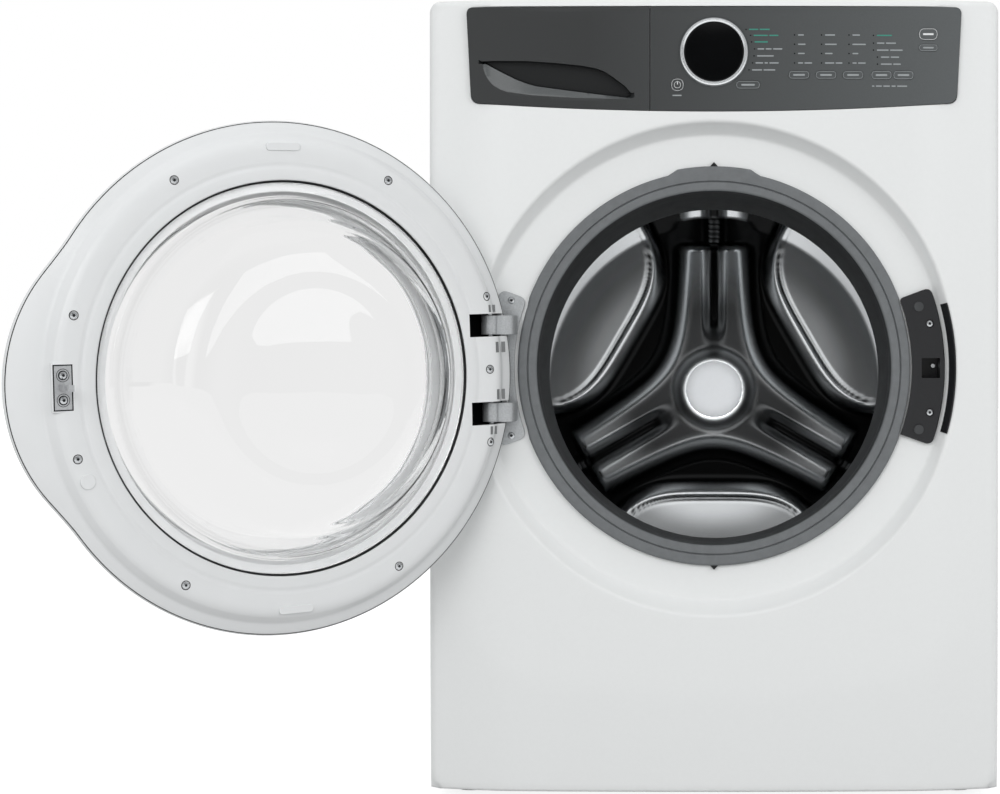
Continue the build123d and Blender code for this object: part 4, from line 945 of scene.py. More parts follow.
def back_spot(x, z):
    """Where a point of the drum's back lies: past the web's edge, into its lobe, along and across its arm."""
    r = math.hypot(x, z)
    turn = math.degrees(math.atan2(z, x)) % 360
    lobe = min(LOBE_ANGLES, key=lambda a: abs((turn - a + 180) % 360 - 180))
    arm = min(ARM_ANGLES, key=lambda a: abs((turn - a + 180) % 360 - 180))
    off, bend = math.radians(turn - lobe), math.radians(turn - arm)
    u, v = r * math.cos(off), r * math.sin(off)
    past = (u - WEB_START - math.sqrt(WEB_BEND ** 2 + v * v / 3)) * WEB_STEEP
    into = u - LOBE_START - LOBE_CURL * (v / LOBE_HALF_W) ** 4
    return r, u, v, past, into, r * math.cos(bend), abs(r * math.sin(bend))


def back_rise(x, z):
    """How far the pressed drum back stands forward: web, arms, valleys, lobes that rise outward and cone."""
    r, u, v, past, into, along, across = back_spot(x, z)
    end = ease(ARM_END_R - 4, ARM_END_R + 10, along) * ease(62, 50, across)
    groove = 6 * ease(20, 2, across) * ease(56, 104, along)
    web = WEB_RISE * ease(24, -12, past) * (1 - 0.6 * end)
    bulge = min(((u - 198) / 54) ** 2 + (v / 150) ** 2, 1)
    lobe = 9 * ease(-24, 6, into) - 1.6 * math.exp(-((into - 9) / 3) ** 2) + 0.8 * (1 - bulge) ** 2
    lobe += 0.072 * max(min(r, BAND_R) - 140, 0) * ease(-24, 6, into)
    cone = 0.17 * max(r - BAND_R - BAR_INSET * ease(62, 50, across), 0)
    hub = 5 * ease(64, 38, r)
    return max(web - groove, 0) + max(lobe, 0) + cone + hub


def back_painted_shade(x, z):
    """Painted shade and reflection: the steel near black in valleys, grooves and arm ends, dulled on lobes."""
    r, u, v, past, into, along, across = back_spot(x, z)
    valley = ease(-1, 8, past) * ease(-4, -14, into)
    groove = ease(13, 5, across) * ease(62, 92, along)
    bar_r = BAND_R + BAR_INSET
    end = ease(ARM_END_R, ARM_END_R + 4, along) * ease(bar_r + 2, bar_r - 1, r) * ease(60, 54, across)
    ribs = 0.3 * ease(6, 4, across) * (0.5 + 0.5 * math.sin(along * 2 * math.pi / 7)) * end
    crease = math.exp(-((into - 8) / 2.6) ** 2) * ease(BAND_R, BAND_R - 12, r)
    ring = 0.75 * ease(42, 47, r) * ease(60, 50, r)
    web = 0.86 * ease(2, -18, past) * ease(46, 64, r) * ease(190, 110, r)
    lobe = (0.15 + 0.42 * ease(165, 205, r)) * ease(0, 8, into) * ease(BAND_R + 2, BAND_R - 3, r)
    shade = max(valley, groove, end, crease, ring, web, lobe)
    return max(1 - 0.985 * shade, ribs)


def build_drum_back():
    """The pressed stainless back with its web, valleys and lobes."""
    rings, steps = 110, 320
    edge_r = DRUM_R - 1.7
    flat = [(0.01, 0)]
    for i in range(1, rings + 1):
        r = edge_r * i / rings
        flat += [polar(r, turn) for turn in turns(steps)]
    points = [(x, DRUM_BACK_A - 1.6 - back_rise(x, z), z) for x, z in flat]
    faces = [(0, 1 + k, 1 + (k + 1) % steps) for k in range(steps)]
    for i in range(rings - 1):
        a, b = 1 + i * steps, 1 + (i + 1) * steps
        faces += [(a + k, b + k, b + (k + 1) % steps, a + (k + 1) % steps) for k in range(steps)]
    mesh = new_mesh("drum_pressed_back", points, faces, TUB_PLACE, closed=False)
    # Painted shade per point, which the pressed steel multiplies into its colour.
    tone = mesh.attributes.new("tone", "FLOAT", "POINT")
    tone.data.foreach_set("value", [back_painted_shade(x, z) for x, z in flat])
    add_piece("drum_pressed_back", mesh, "pressed_stainless", "drum", ["drum_back"],
              sharp=60, thick=1.4)


def build_hub_cap():
    """The domed cap over the drum's hub."""
    r, base = HUB_CAP_R, DRUM_BACK_A - WEB_RISE - 4
    outline = [(0.01, base + 3), (r, base + 3), (r, base), (r - 1.2, base - 2.4)]
    outline += [(r * math.cos(math.radians(a)) * 0.97, base - 2.4 - 4 * math.sin(math.radians(a)))
                for a in range(8, 90, 8)]
    outline += [(0.01, base - 6.4)]
    mesh = new_mesh("drum_dome_cap", *lathe(outline, 96), TUB_PLACE)
    add_piece("drum_dome_cap", mesh, "satin_cap", "drum", ["drum_hub_cap"], sharp=60)


def build_drum_wall(sizes):
    """The rolled drum wall with its front lip, and its small drain holes drawn as discs of painted shade."""
    r, a, m, s = DRUM_R, DRUM_FRONT_A, DRUM_MOUTH_R, 1.5
    outline = rounded([
        (m, a - 5, 0.6), (m + s, a - 5.6, 0.6), (m + 3, a - 1, 2), (m + 9, a + 3, 4), (r - 7, a + 3, 4),
        (r, a + 10, 4), (r, DRUM_BACK_A, 0.2), (r - s, DRUM_BACK_A, 0.2), (r - s, a + 11, 4),
        (r - 7.6, a + 3 + s, 4), (m + 8.4, a + 3 + s, 4), (m + s, a, 2),
    ], 3)
    mesh = new_mesh("drum_rolled_wall", *lathe(outline, 240), TUB_PLACE)
    add_piece("drum_rolled_wall", mesh, "rolled_stainless", "drum", ["drum_shell"])
    mesh = grown(drain_hole_tree(sizes), [], {
        "Wall Radius": (DRUM_R - 1.7) * MM, "First Row": (DRUM_FRONT_A + 26) * MM,
        "Row Step": sizes.hole_step, "Hole Radius": sizes.hole_radius})
    mesh.transform(TUB_PLACE)
    add_piece("drum_drain_holes", mesh, "hole_black", "drum")


def drain_hole_tree(sizes):
    """Rows of small round holes on the drum's wall, each second row shifted by half a step."""
    tree, given = new_tree("drain_holes", "Wall Radius", "First Row", "Row Step", "Hole Radius")
    rows = int((DRUM_BACK_A - DRUM_FRONT_A - 45) * MM / sizes.hole_step)
    columns = sizes.hole_columns
    index = add_node(tree, "GeometryNodeInputIndex").outputs[0]
    row = worked_out(tree, "FLOOR", worked_out(tree, "DIVIDE", index, columns))
    column = worked_out(tree, "MODULO", index, columns)
    shift = worked_out(tree, "MODULO", row, 2)
    place = worked_out(tree, "MULTIPLY_ADD", shift, 0.5, column)
    turn = worked_out(tree, "MULTIPLY", place, 2 * math.pi / columns)
    across, upward = worked_out(tree, "COSINE", turn), worked_out(tree, "SINE", turn)
    depth = worked_out(tree, "MULTIPLY_ADD", row, given["Row Step"], given["First Row"])
    outward = add_node(tree, "ShaderNodeCombineXYZ", {"X": across, "Z": upward}).outputs[0]
    on_wall = scaled(tree, outward, given["Wall Radius"])
    along = add_node(tree, "ShaderNodeCombineXYZ", {"Y": depth}).outputs[0]
    spot = add_node(tree, "ShaderNodeVectorMath", {0: on_wall, 1: along}, operation="ADD").outputs[0]
    dots = add_node(tree, "GeometryNodePoints", {"Count": rows * columns, "Position": spot}).outputs[0]
    disc = add_node(tree, "GeometryNodeMeshCircle", {
        "Vertices": 8, "Radius": given["Hole Radius"]}, fill_type="NGON")
    inward = scaled(tree, outward, -1.0)
    facing = add_node(tree, "FunctionNodeAlignRotationToVector", {"Vector": inward}, axis="Z")
    # The holes are near black discs: painted shade.
    painted = set_out(tree, dots, disc.outputs[0], facing.outputs[0], "hole_black")
    add_node(tree, "NodeGroupOutput", {0: painted})
    return tree


def build_lifters():
    """Three ribbed lifters on the drum's wall, ramped at the front."""
    parts = []
    wall = DRUM_R - 1.8
    first, last, tall, foot, taper = 140, 450, 27, 40, 19
    for arm in ARM_ANGLES:
        out = math.radians(arm)
        rows = []
        for a in spaced(first, last, 4):
            height = tall * ease(first - 25, first + 75, a) * ease(last + 6, last - 12, a)
            height += 0.9 * math.sin((a - first) * 2 * math.pi / 12) * ease(first + 40, first + 60, a)
            row = []
            for k in range(25):
                s = -1 + k / 12
                lift = height * (1 - abs(s) ** 3.2) ** 0.75
                side = (foot - taper * (lift / tall)) * s if abs(s) < 1 else foot * s
                reach = math.sqrt(wall ** 2 - side ** 2) - lift
                x = reach * math.cos(out) - side * math.sin(out)
                z = reach * math.sin(out) + side * math.cos(out)
                row.append((x, a, z))
            back = [(wall * math.cos(t), a, wall * math.sin(t)) for t in spaced(out + 0.1, out - 0.1, 0.05)]
            rows.append(row + back)
        points, faces = loops(rows, wrap_rows=False)
        count = len(rows[0])
        faces.append(tuple(range(count)))
        faces.append(tuple(range(len(points) - 1, len(points) - 1 - count, -1)))
        parts.append((points, faces))
    mesh = new_mesh("drum_ribbed_lifters", *joined(parts), TUB_PLACE)
    add_piece("drum_ribbed_lifters", mesh, "lifter_plastic", "drum", ["drum_lifters"])


# Door

def door_reach(turn):
    """How far the door's outline is from its centre: a circle with a grip that swells on the free side."""
    grip = GRIP_X * math.cos(turn) + math.sqrt(GRIP_R ** 2 - (GRIP_X * math.sin(turn)) ** 2)
    return soft_max(DOOR_R, grip, 9)


def door_sheet(profile, steps=288):
    """A sheet through one profile of (radius, y) for each angle."""
    rows = [[(r * math.cos(t), y, r * math.sin(t)) for r, y in profile(door_reach(t))] for t in turns(steps)]
    return loops(rows, wrap_points=False)


def outer_profile(reach):
    """The outer shell from the window's edge over the crown to the rim."""
    rise = DOOR_RIM_Y - DOOR_FRONT_Y
    crown = [(0, 0), (0.8, 0.16), (2.2, 0.3), (4.5, 0.42), (8, 0.54), (14, 0.66), (22, 0.77), (36, 0.88)]
    crown += [(50, 0.96), (66, 1)]
    edge = [(reach - e, DOOR_RIM_Y - rise * share) for e, share in crown]
    last = edge[-1][0]
    inner = [(WINDOW_R + (last - WINDOW_R) * t, DOOR_FRONT_Y) for t in (0.75, 0.5, 0.25, 0.03)]
    return edge + inner + [(WINDOW_R, DOOR_FRONT_Y + 0.8), (WINDOW_R, DOOR_FRONT_Y + 3)]


def inner_profile(reach):
    """The inner ring from the rim over the step and the glass seat."""
    rim, y, step = DOOR_RIM_Y, RING_Y, GLASS_R + 2.6
    slope = [(reach - 0.2, rim), (reach - 0.5, rim + 1.6), (reach - 1.6, rim + 3), (reach - 3.4, rim + 3.9)]
    slope += [(281, rim + 7.2), (278, rim + 8), (276.6, rim + 8.8), (275, rim + 10.4)]
    face = [(r, y + lift) for r, lift in reversed(RING_FACE)]
    seat = [(step + 1.6, y), (step + 0.5, y - 0.4), (step, y - 1.2), (step, y - 8.4), (210, y - 8.6)]
    return slope + face + seat


def ring_spot(x, z, lift):
    """A point on the inner ring's face, raised a little."""
    return x, RING_Y + between(RING_FACE, math.hypot(x, z)) + lift, z


def screw_places():
    """The screws round the inner ring as (x, z)."""
    ring = [polar(SCREW_RING_R, math.radians(a)) for a in (17.5, 60, 120, 240, 300, 342.5)]
    return ring + [(-253, 0), (-252.5, 86), (-252.5, -86)]


def well_ring(x, z, inner, outer, flat=None):
    """Painted shade of the well round one sunk screw: a dark ring laid on the ring's face or on a flat."""
    rows = []
    for r, lift in ((inner, 0.14), (outer, 0.14), (outer, -0.3), (inner, -0.3)):
        spots = [(x + r * math.cos(t), z + r * math.sin(t)) for t in turns(28)]
        rows.append([ring_spot(*p, lift) if flat is None else (p[0], flat + lift, p[1]) for p in spots])
    return loops(rows)


def rib_bars():
    """The shaded floors of the paired slots that stand beside the hinge, laid on the ring's face."""
    bars = []
    for x0, x1, z0, z1 in RIB_SLOTS:
        wide = (x1 - x0) * 0.34
        for low in (x0, x1 - wide):
            corners = ((low, z0), (low + wide, z0), (low + wide, z1), (low, z1))
            rows = [[ring_spot(x, z, lift) for x, z in corners] for lift in (-0.4, 0.4)]
            points, faces = loops(rows, wrap_rows=False)
            bars.append((points, faces + [(0, 1, 2, 3), (7, 6, 5, 4)]))
    return joined(bars)


def rim_seam(steps=288):
    """The thin dark seam between the two shells, all round the door's rim."""
    rows = []
    for inset, lift in ((1.3, 2.9), (2.1, 3.5), (2.1, 2.8), (1.3, 2.2)):
        ring = [polar(door_reach(turn) - inset, turn) for turn in turns(steps)]
        rows.append([(x, DOOR_RIM_Y + lift, z) for x, z in ring])
    return loops(rows)


def frame_ring(inner, outer, front, back):
    """A rectangular frame round the strike between two half sizes."""
    rows = []
    for (half_x, half_z), y in ((inner, front), (outer, front), (outer, back), (inner, back)):
        x0, x1 = STRIKE_X - half_x, STRIKE_X + half_x
        rows.append([(x0, y, -half_z), (x1, y, -half_z), (x1, y, half_z), (x0, y, half_z)])
    return loops(rows)


def pocket_liner(dz):
    """Painted shade in one hinge pocket: dark lining on its inner end, back and both sides, open to the front."""
    half = HINGE_SLOT_HALF
    rows = [[(x, y, dz + side * half) for x, y in POCKET_LINE] for side in (-1, 1)]
    points, faces = loops(rows, wrap_rows=False, wrap_points=False)
    return points, faces + [(3, 2, 1, 0), (4, 5, 6, 7)]


def cut_boxes(mesh, boxes):
    """A mesh with some boxes cut out of it; each box is three (low, high) pairs in millimetres."""
    parts = []
    for (x0, x1), (y0, y1), (z0, z1) in boxes:
        parts.append(prism([(x0, z0), (x1, z0), (x1, z1), (x0, z1)], y0, y1))
    cutter = bpy.data.objects.new("cutter", new_mesh("cutter", *joined(parts)))
    body = bpy.data.objects.new("cut_body", mesh)
    for item in (cutter, body):
        bpy.context.scene.collection.objects.link(item)
    wall = body.modifiers.new("wall", "SOLIDIFY")
    wall.thickness = 2.4 * MM
    wall.offset = -1
    cut = body.modifiers.new("cut", "BOOLEAN")
    cut.object = cutter
    cut.operation = "DIFFERENCE"
    cut.solver = "EXACT"
    done = plain_mesh(body)
    for item in (cutter, body):
        bpy.data.objects.remove(item)
    return done


def build_door_shells():
    """The door's white outer shell and inner ring."""
    points, faces = door_sheet(outer_profile)
    mesh = new_mesh("door_outer_shell", points, [tuple(reversed(f)) for f in faces], DOOR_PLACE, closed=False)
    add_piece("door_outer_shell", mesh, "white_plastic", "door", ["door_outer_frame"],
              sharp=45, thick=2.6)
    points, faces = door_sheet(inner_profile)
    mesh = new_mesh("door_inner_ring", points, faces, closed=False)
    half = HINGE_SLOT_HALF
    boxes = [(HINGE_SLOT_X, (POCKET_BACK_Y - 3, FLOOR_Y), (dz - half, dz + half)) for dz in (-ARM_Z, ARM_Z)]
    half_x, half_z = STRIKE_HALF[0] + 0.3, STRIKE_HALF[1] + 0.3
    boxes.append(((STRIKE_X - half_x, STRIKE_X + half_x), (RING_Y - 1.8, FLOOR_Y), (-half_z, half_z)))
    mesh = cut_boxes(mesh, boxes)
    mesh.transform(DOOR_PLACE)
    add_piece("door_inner_ring", mesh, "white_plastic", "door", ["door_inner_frame"],
              sharp=40)


def build_door_details():
    """What lies on the ring: bumps, cap, strike frame, rib slots, painted shade gaps, seam and hinge pockets."""
    bumps = []
    wide, tall = RING_BUMP_HALF
    for z in (-RING_BUMP_Z, RING_BUMP_Z):
        bumps.append(prism(oblong(-wide, wide, z - tall, z + tall, 4.4, 5), RING_Y - 3, RING_Y + 1.4))
    bumps.append(round_bar(*RING_CAP, RING_Y - 4, RING_Y + 1.2, 32))
    inner = [half + 0.3 for half in STRIKE_HALF]
    bumps.append(frame_ring(inner, [half + 2 for half in STRIKE_HALF], RING_Y - 0.05, RING_Y - 5))
    mesh = new_mesh("door_ring_bumps", *joined(bumps), DOOR_PLACE)
    piece = add_piece("door_ring_bumps", mesh, "white_plastic", "door")
    soft = piece.modifiers.new("edge", "BEVEL")
    soft.width = 0.5 * MM
    soft.segments = 2
    # Dark rings round the screws and a dark frame round the strike, laid on the face: painted shade of their wells
    # and gap.
    gaps = [well_ring(x, z, 4.4, 5.3) for x, z in screw_places()]
    for dz in (-STRIKE_SCREW_DZ, STRIKE_SCREW_DZ):
        gaps += [well_ring(STRIKE_X, dz, 3.9, 5.2, RING_Y), well_ring(STRIKE_X, dz, 6.6, 7.2, RING_Y)]
    gaps.append(frame_ring([half - 0.8 for half in STRIKE_HALF], [half + 0.5 for half in STRIKE_HALF],
                           RING_Y + 0.12, RING_Y - 0.3))
    gaps.append(rim_seam())
    mesh = new_mesh("door_rib_slots", *rib_bars(), DOOR_PLACE)
    add_piece("door_rib_slots", mesh, "slot_shade", "door")
    mesh = new_mesh("door_gap_lines", *joined(gaps), DOOR_PLACE)
    add_piece("door_gap_lines", mesh, "hole_black", "door")
    liners = joined([pocket_liner(dz) for dz in (-ARM_Z, ARM_Z)])
    mesh = new_mesh("door_hinge_pockets", *liners, DOOR_PLACE, closed=False)
    add_piece("door_hinge_pockets", mesh, "hole_black", "door", thick=0.5)


def build_door_glass():
    """The clear bowl and window with the dark seal."""
    mesh = new_mesh("door_glass_bowl", *lathe(bowl_outline(), 200), DOOR_PLACE)
    add_piece("door_glass_bowl", mesh, "bowl_glass", "door", ["door_glass"], sharp=50)
    y, r = DOOR_FRONT_Y, WINDOW_R
    front = [(r - 0.4, y - 0.2), (185, y - 1.6), (150, y - 4.4), (110, y - 6.3), (60, y - 7.6), (0.01, y - 8)]
    back = [(0.01, y - 4.5), (60, y - 4.1), (110, y - 2.8), (150, y - 0.9), (185, y + 2.2), (r + 7, y + 5.9)]
    edge = [(r + 7, y + 3.1), (r - 0.4, y + 3.1)]
    mesh = new_mesh("door_clear_window", *lathe(flowing(front) + flowing(back) + edge, 200), DOOR_PLACE)
    add_piece("door_clear_window", mesh, "clear_window", "door", ["door_outer_window"],
              sharp=50)
    y, r = RING_Y, GLASS_R
    seal = rounded([(r + 0.1, y - 8.2, 0.3), (r + 2.5, y - 8.2, 0.3), (r + 2.5, y - 1.4, 0.4),
                    (r + 1.6, y - 1.4, 0.4), (r + 0.1, y - 4, 0.6)], 2)
    mesh = new_mesh("door_bowl_seal", *lathe(seal, 200), DOOR_PLACE)
    add_piece("door_bowl_seal", mesh, "black_rubber", "door", ["door_glass_seal"])


def flowing(points, steps=4):
    """A finer line that flows through all the given (radius, y) points and meets the axis squarely."""
    gaps = [math.dist(a, b) for a, b in zip(points, points[1:])]
    runs = [[(b - a) / gap for a, b in zip(p, q)] for p, q, gap in zip(points, points[1:], gaps)]
    slopes = [runs[0]]
    for i in range(1, len(runs)):
        whole = gaps[i - 1] + gaps[i]
        slopes.append([(a * gaps[i] + b * gaps[i - 1]) / whole for a, b in zip(runs[i - 1], runs[i])])
    slopes.append(runs[-1])
    for i in (0, -1):
        if points[i][0] < 0.1:
            slopes[i] = [math.copysign(1, runs[i][0]), 0]
    line = []
    for i, gap in enumerate(gaps):
        for k in range(steps):
            t = k / steps
            parts = ((2 * t ** 3 - 3 * t ** 2 + 1, points[i]), ((t ** 3 - 2 * t ** 2 + t) * gap, slopes[i]),
                     (3 * t ** 2 - 2 * t ** 3, points[i + 1]), ((t ** 3 - t ** 2) * gap, slopes[i + 1]))
            line.append(tuple(sum(share * p[axis] for share, p in parts) for axis in (0, 1)))
    return line + [points[-1]]


def bowl_outline():
    """The bowl's wall as a closed outline: rim, flared side, rounded toe and shallow end."""
    rim, end, t = GLASS_RIM_Y, BOWL_END_Y, 5
    outer = [(206, rim), (203.5, rim + 2.5), (201.5, rim + 7), (199, rim + 13), (184, rim + 41)]
    outer += [(174, rim + 58), (169, rim + 65.5), (163, rim + 72), (155, rim + 77), (145, rim + 80.5)]
    outer += [(130, rim + 83.5), (100, end - 2.5), (60, end - 1), (0.01, end)]
    inner = [(0.01, end - t), (60, end - 1 - t), (100, end - 2.6 - t), (129, rim + 78.5), (143, rim + 75.5)]
    inner += [(152, rim + 72), (159, rim + 67.5), (164.5, rim + 62), (169, rim + 56), (179, rim + 39)]
    inner += [(194, rim + 11), (196.5, rim + 5), (199, rim - 1), (203, rim - t)]
    r = GLASS_R
    edge = [(r - 0.6, rim - t), (r, rim - t + 0.8), (r, rim - 0.8), (r - 0.6, rim)]
    return flowing(outer) + flowing(inner) + edge


# Hinge

def build_hinge():
    """The fixed hinge: a curved plate with two gooseneck arms that end in eyes."""
    start, stop = (math.radians(180 + side * HINGE_PLATE_ANGLE) for side in (-1, 1))
    sweep = [start] + [start + (stop - start) * i / 24 for i in range(3, 22)] + [stop]
    outline = []
    for r, way in ((HINGE_PLATE_R[1], sweep), (HINGE_PLATE_R[0], reversed(sweep))):
        outline += [(*polar(r, t), 10 if t in (start, stop) else 0) for t in way]
    parts = [prism(rounded(outline, 6), FLOOR_Y - 3, FLOOR_Y - 0.1)]
    lean = SWING.x / SWING.z
    for dz in (-ARM_Z, ARM_Z):
        parts.append(gooseneck(HINGE.x / MM + lean * dz, HINGE.y / MM, ARM_END_X, dz))
    mesh = new_mesh("hinge_gooseneck_plate", *joined(parts), FRONT_PLACE)
    piece = add_piece("hinge_gooseneck_plate", mesh, "satin_zinc", "cabinet", ["hinge_plate"])
    soft = piece.modifiers.new("edge", "BEVEL")
    soft.width = 0.7 * MM
    soft.segments = 2
    soft.limit_method = "ANGLE"


def gooseneck(eye_x, eye_y, end_x, height):
    """One arm: a flat bar bent from the eye round to the plate, with a round eye."""
    centre = [(eye_x, eye_y), (eye_x + 6, eye_y)]
    bend = 13
    corner_x, corner_y = end_x - 3.5 - bend, eye_y + bend
    centre += [(corner_x + bend * math.cos(math.radians(a)), corner_y + bend * math.sin(math.radians(a)))
               for a in range(-90, 1, 10)]
    centre += [(end_x - 3.5, FLOOR_Y - 1.5)]
    rows = []
    half = 3.5
    for i, (x, y) in enumerate(centre):
        before, after = centre[max(i - 1, 0)], centre[min(i + 1, len(centre) - 1)]
        run = Vector((after[0] - before[0], after[1] - before[1])).normalized()
        nx, ny = -run.y * half, run.x * half
        low, high = height - ARM_H / 2, height + ARM_H / 2
        corners = ((1, low), (-1, low), (-1, high), (1, high))
        rows.append([(x + side * nx, y + side * ny, z) for side, z in corners])
    bar = loops(rows, wrap_rows=False)
    count = len(bar[0])
    faces = bar[1] + [(0, 1, 2, 3), (count - 1, count - 2, count - 3, count - 4)]
    eye_rows = []
    for z in (height - ARM_H / 2, height + ARM_H / 2):
        for r in ((4.1, 10) if z < height else (10, 4.1)):
            eye_rows.append([(eye_x + r * math.cos(t), eye_y + r * math.sin(t), z) for t in turns(40)])
    eye = loops(eye_rows)
    return joined([(bar[0], faces), eye])


# Lock

def build_lock():
    """The lock's flange, grey rubber faces on its two bumps and the bright catch at the end of its slot."""
    top, low, inner, outer = LOCK_FLANGE
    sweep = [math.radians(low + (top - low) * i / 16) for i in range(17)]
    line = [(*polar(inner, t), 7 if t == sweep[-1] else 0) for t in sweep]
    line.append((*polar(outer, sweep[-1]), 9))
    back = math.radians(top - 4)
    line += [(*polar(r, back), 0) for r in (outer, inner + 8)]
    line += [(*polar(inner + 8, t), 0) for t in reversed(sweep) if t < back]
    mesh = new_mesh("lock_flange", *prism(rounded(line, 5), FLOOR_Y - 6.8, FLOOR_Y - 0.2), FRONT_PLACE)
    add_piece("lock_flange", mesh, "black_plastic", "cabinet")
    x, dz, radius = LOCK_BUMP
    caps = [round_bar(x, side * dz, radius - 0.3, FLOOR_Y - 7.9, FLOOR_Y - 7.4) for side in (-1, 1)]
    mesh = new_mesh("lock_bump_faces", *joined(caps), FRONT_PLACE)
    add_piece("lock_bump_faces", mesh, "gasket_shade", "cabinet")
    mesh = new_mesh("lock_catch", *round_bar(*LOCK_CATCH), FRONT_PLACE)
    add_piece("lock_catch", mesh, "chrome_plate", "cabinet")


# Control panel

LEGEND_LIFT = 0.18
MARK_TALL = 1.5
RING_LINE = 0.42
LAMP_DOT_R = 0.85
LAMP_DOT_DEPTH = 0.6
PANEL_MM_PER_PX = 1.196


def on_panel(px, py):
    """A place on the control panel from the photograph's pixel."""
    return (px - AXIS_PX[0]) * PANEL_MM_PER_PX, EYE_Z + (AXIS_PX[1] - py) * PANEL_MM_PER_PX


def printed_bar(x0, x1, z, tall, y=None, lift=LEGEND_LIFT):
    """One printed dash, a thin rounded block that lies on the panel's curve."""
    outline = oblong(x0, x1, z - tall / 2, z + tall / 2, tall * 0.4, 2)
    count = len(outline)
    points = [(x, (pad_y(x) if y is None else y) - lift, h) for x, h in outline]
    points += [(x, (pad_y(x) if y is None else y) + 0.3, h) for x, h in outline]
    faces = [tuple(range(count)), tuple(range(2 * count - 1, count - 1, -1))]
    faces += [(i, i + count, (i + 1) % count + count, (i + 1) % count) for i in range(count)]
    return points, faces


def printed_words(px, py, widths):
    """A row of dashes in place of words, starting at a pixel."""
    parts = []
    x, z = on_panel(px, py)
    for width in widths:
        parts.append(printed_bar(x, x + width, z, MARK_TALL))
        x += width + 1.8
    return parts


def printed_ring(x, z, width, tall, y):
    """A thin printed outline round a button."""
    r = min(width, tall) / 2
    rows = []
    for shrink, lift in ((0, LEGEND_LIFT), (RING_LINE, LEGEND_LIFT), (RING_LINE, -0.3), (0, -0.3)):
        w, h = width / 2 - shrink, tall / 2 - shrink
        rows.append([(px, y - lift, pz) for px, pz in oblong(x - w, x + w, z - h, z + h, r, 8)])
    return loops(rows)


# Rows of marks as the photograph's pixel where each starts and its dashes' lengths in millimetres
CYCLE_ROWS = ((749, 29.5, (11, 12)), (753.5, 35.5, (17, 11)), (754.5, 42, (16,)), (757.5, 49, (8, 7, 11)),
              (757, 56, (20,)), (755.5, 63, (9, 4, 11)), (752, 70, (12, 14)))
OPTION_ROWS = (
    (877, 35.3, (18,)), (877, 43, (9, 12)), (877, 50, (14, 15)), (881, 57, (10, 10)), (881, 64, (13, 9)),
)
COLUMNS = (
    (798, ((7,), (9,), (8,), (6, 9))), (825, ((12,), (14,), (9,), (11, 8))),
    (852.5, ((9,), (16,), (7,), (5, 9))),
)
COLUMN_ROWS = (35, 44.3, 53.5, 63)
LOOSE_ROWS = ((672.5, 95.5, (11,)), (872, 86, (3, 7, 8, 5, 12)))


def build_console():
    """The display ring, printed marks on the fascia and on each button, and lamp dots."""
    z = (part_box("display_lens")[0].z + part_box("display_lens")[1].z) / 2 / MM
    ring = rounded([(35.8, PAD_Y + 9, 0.2), (35.8, PAD_Y - 3.4, 0.8), (37.6, PAD_Y - 5, 2.2),
                    (40, PAD_Y - 4.6, 2.2), (42, PAD_Y - 1, 1.6), (42, PAD_Y + 9, 0.2)], 5)
    mesh = new_mesh("display_chrome_ring", *lathe(ring, 128), Matrix.Translation((0, 0, z * MM)))
    add_piece("display_chrome_ring", mesh, "chrome_plate", "cabinet", ["display_bezel"])
    dome = [(0.01, PAD_Y - 2.6), (12, PAD_Y - 2.53), (24, PAD_Y - 2.3), (34.4, PAD_Y - 1.95)]
    dome += [(35.5, PAD_Y - 1), (35.5, PAD_Y + 4), (0.01, PAD_Y + 4)]
    mesh = new_mesh("display_lens_dome", *lathe(dome, 128), Matrix.Translation((0, 0, z * MM)))
    add_piece("display_lens_dome", mesh, "lens_black", "cabinet", ["display_lens"])
    pale, teal, dots = [], [], []
    for i, (px, py, widths) in enumerate(CYCLE_ROWS):
        (teal if i < 3 else pale).extend(printed_words(px, py, widths))
        dots.append(on_panel(px - 3, py))
    for i, (px, py, widths) in enumerate(OPTION_ROWS):
        (teal if i < 1 else pale).extend(printed_words(px, py, widths))
        dots.append(on_panel(px - 3.5, py))
    for px, column in COLUMNS:
        for py, widths in zip(COLUMN_ROWS, column):
            pale.extend(printed_words(px, py, widths))
            dots.append(on_panel(px - 3.5, py))
    for row in LOOSE_ROWS:
        pale.extend(printed_words(*row))
    for ink, parts in (("pale", pale), ("teal", teal)):
        name = f"panel_{ink}_marks"
        add_piece(name, new_mesh(name, *joined(parts)), f"{ink}_print", "cabinet")
    mesh = dot_mesh(dots)
    add_piece("panel_lamp_dots", mesh, "hole_black", "cabinet")
    for name in ("power", "cycles", "temp", "soil", "spin", "options", "select", "start", "cancel"):
        mark_button(name)


def dot_mesh(dots):
    """Small lamp windows, one short disc at each place, by a node tree."""
    tree, given = new_tree("lamp_dots", "Radius", "Depth")
    disc = add_node(tree, "GeometryNodeMeshCylinder", {
        "Vertices": 16, "Radius": given["Radius"], "Depth": given["Depth"]})
    painted = set_out(tree, given["Geometry"], disc.outputs["Mesh"], (math.pi / 2, 0, 0), "hole_black")
    add_node(tree, "NodeGroupOutput", {0: painted})
    places = [(x, pad_y(x), z) for x, z in dots]
    return grown(tree, places, {"Radius": LAMP_DOT_R * MM, "Depth": LAMP_DOT_DEPTH * MM})


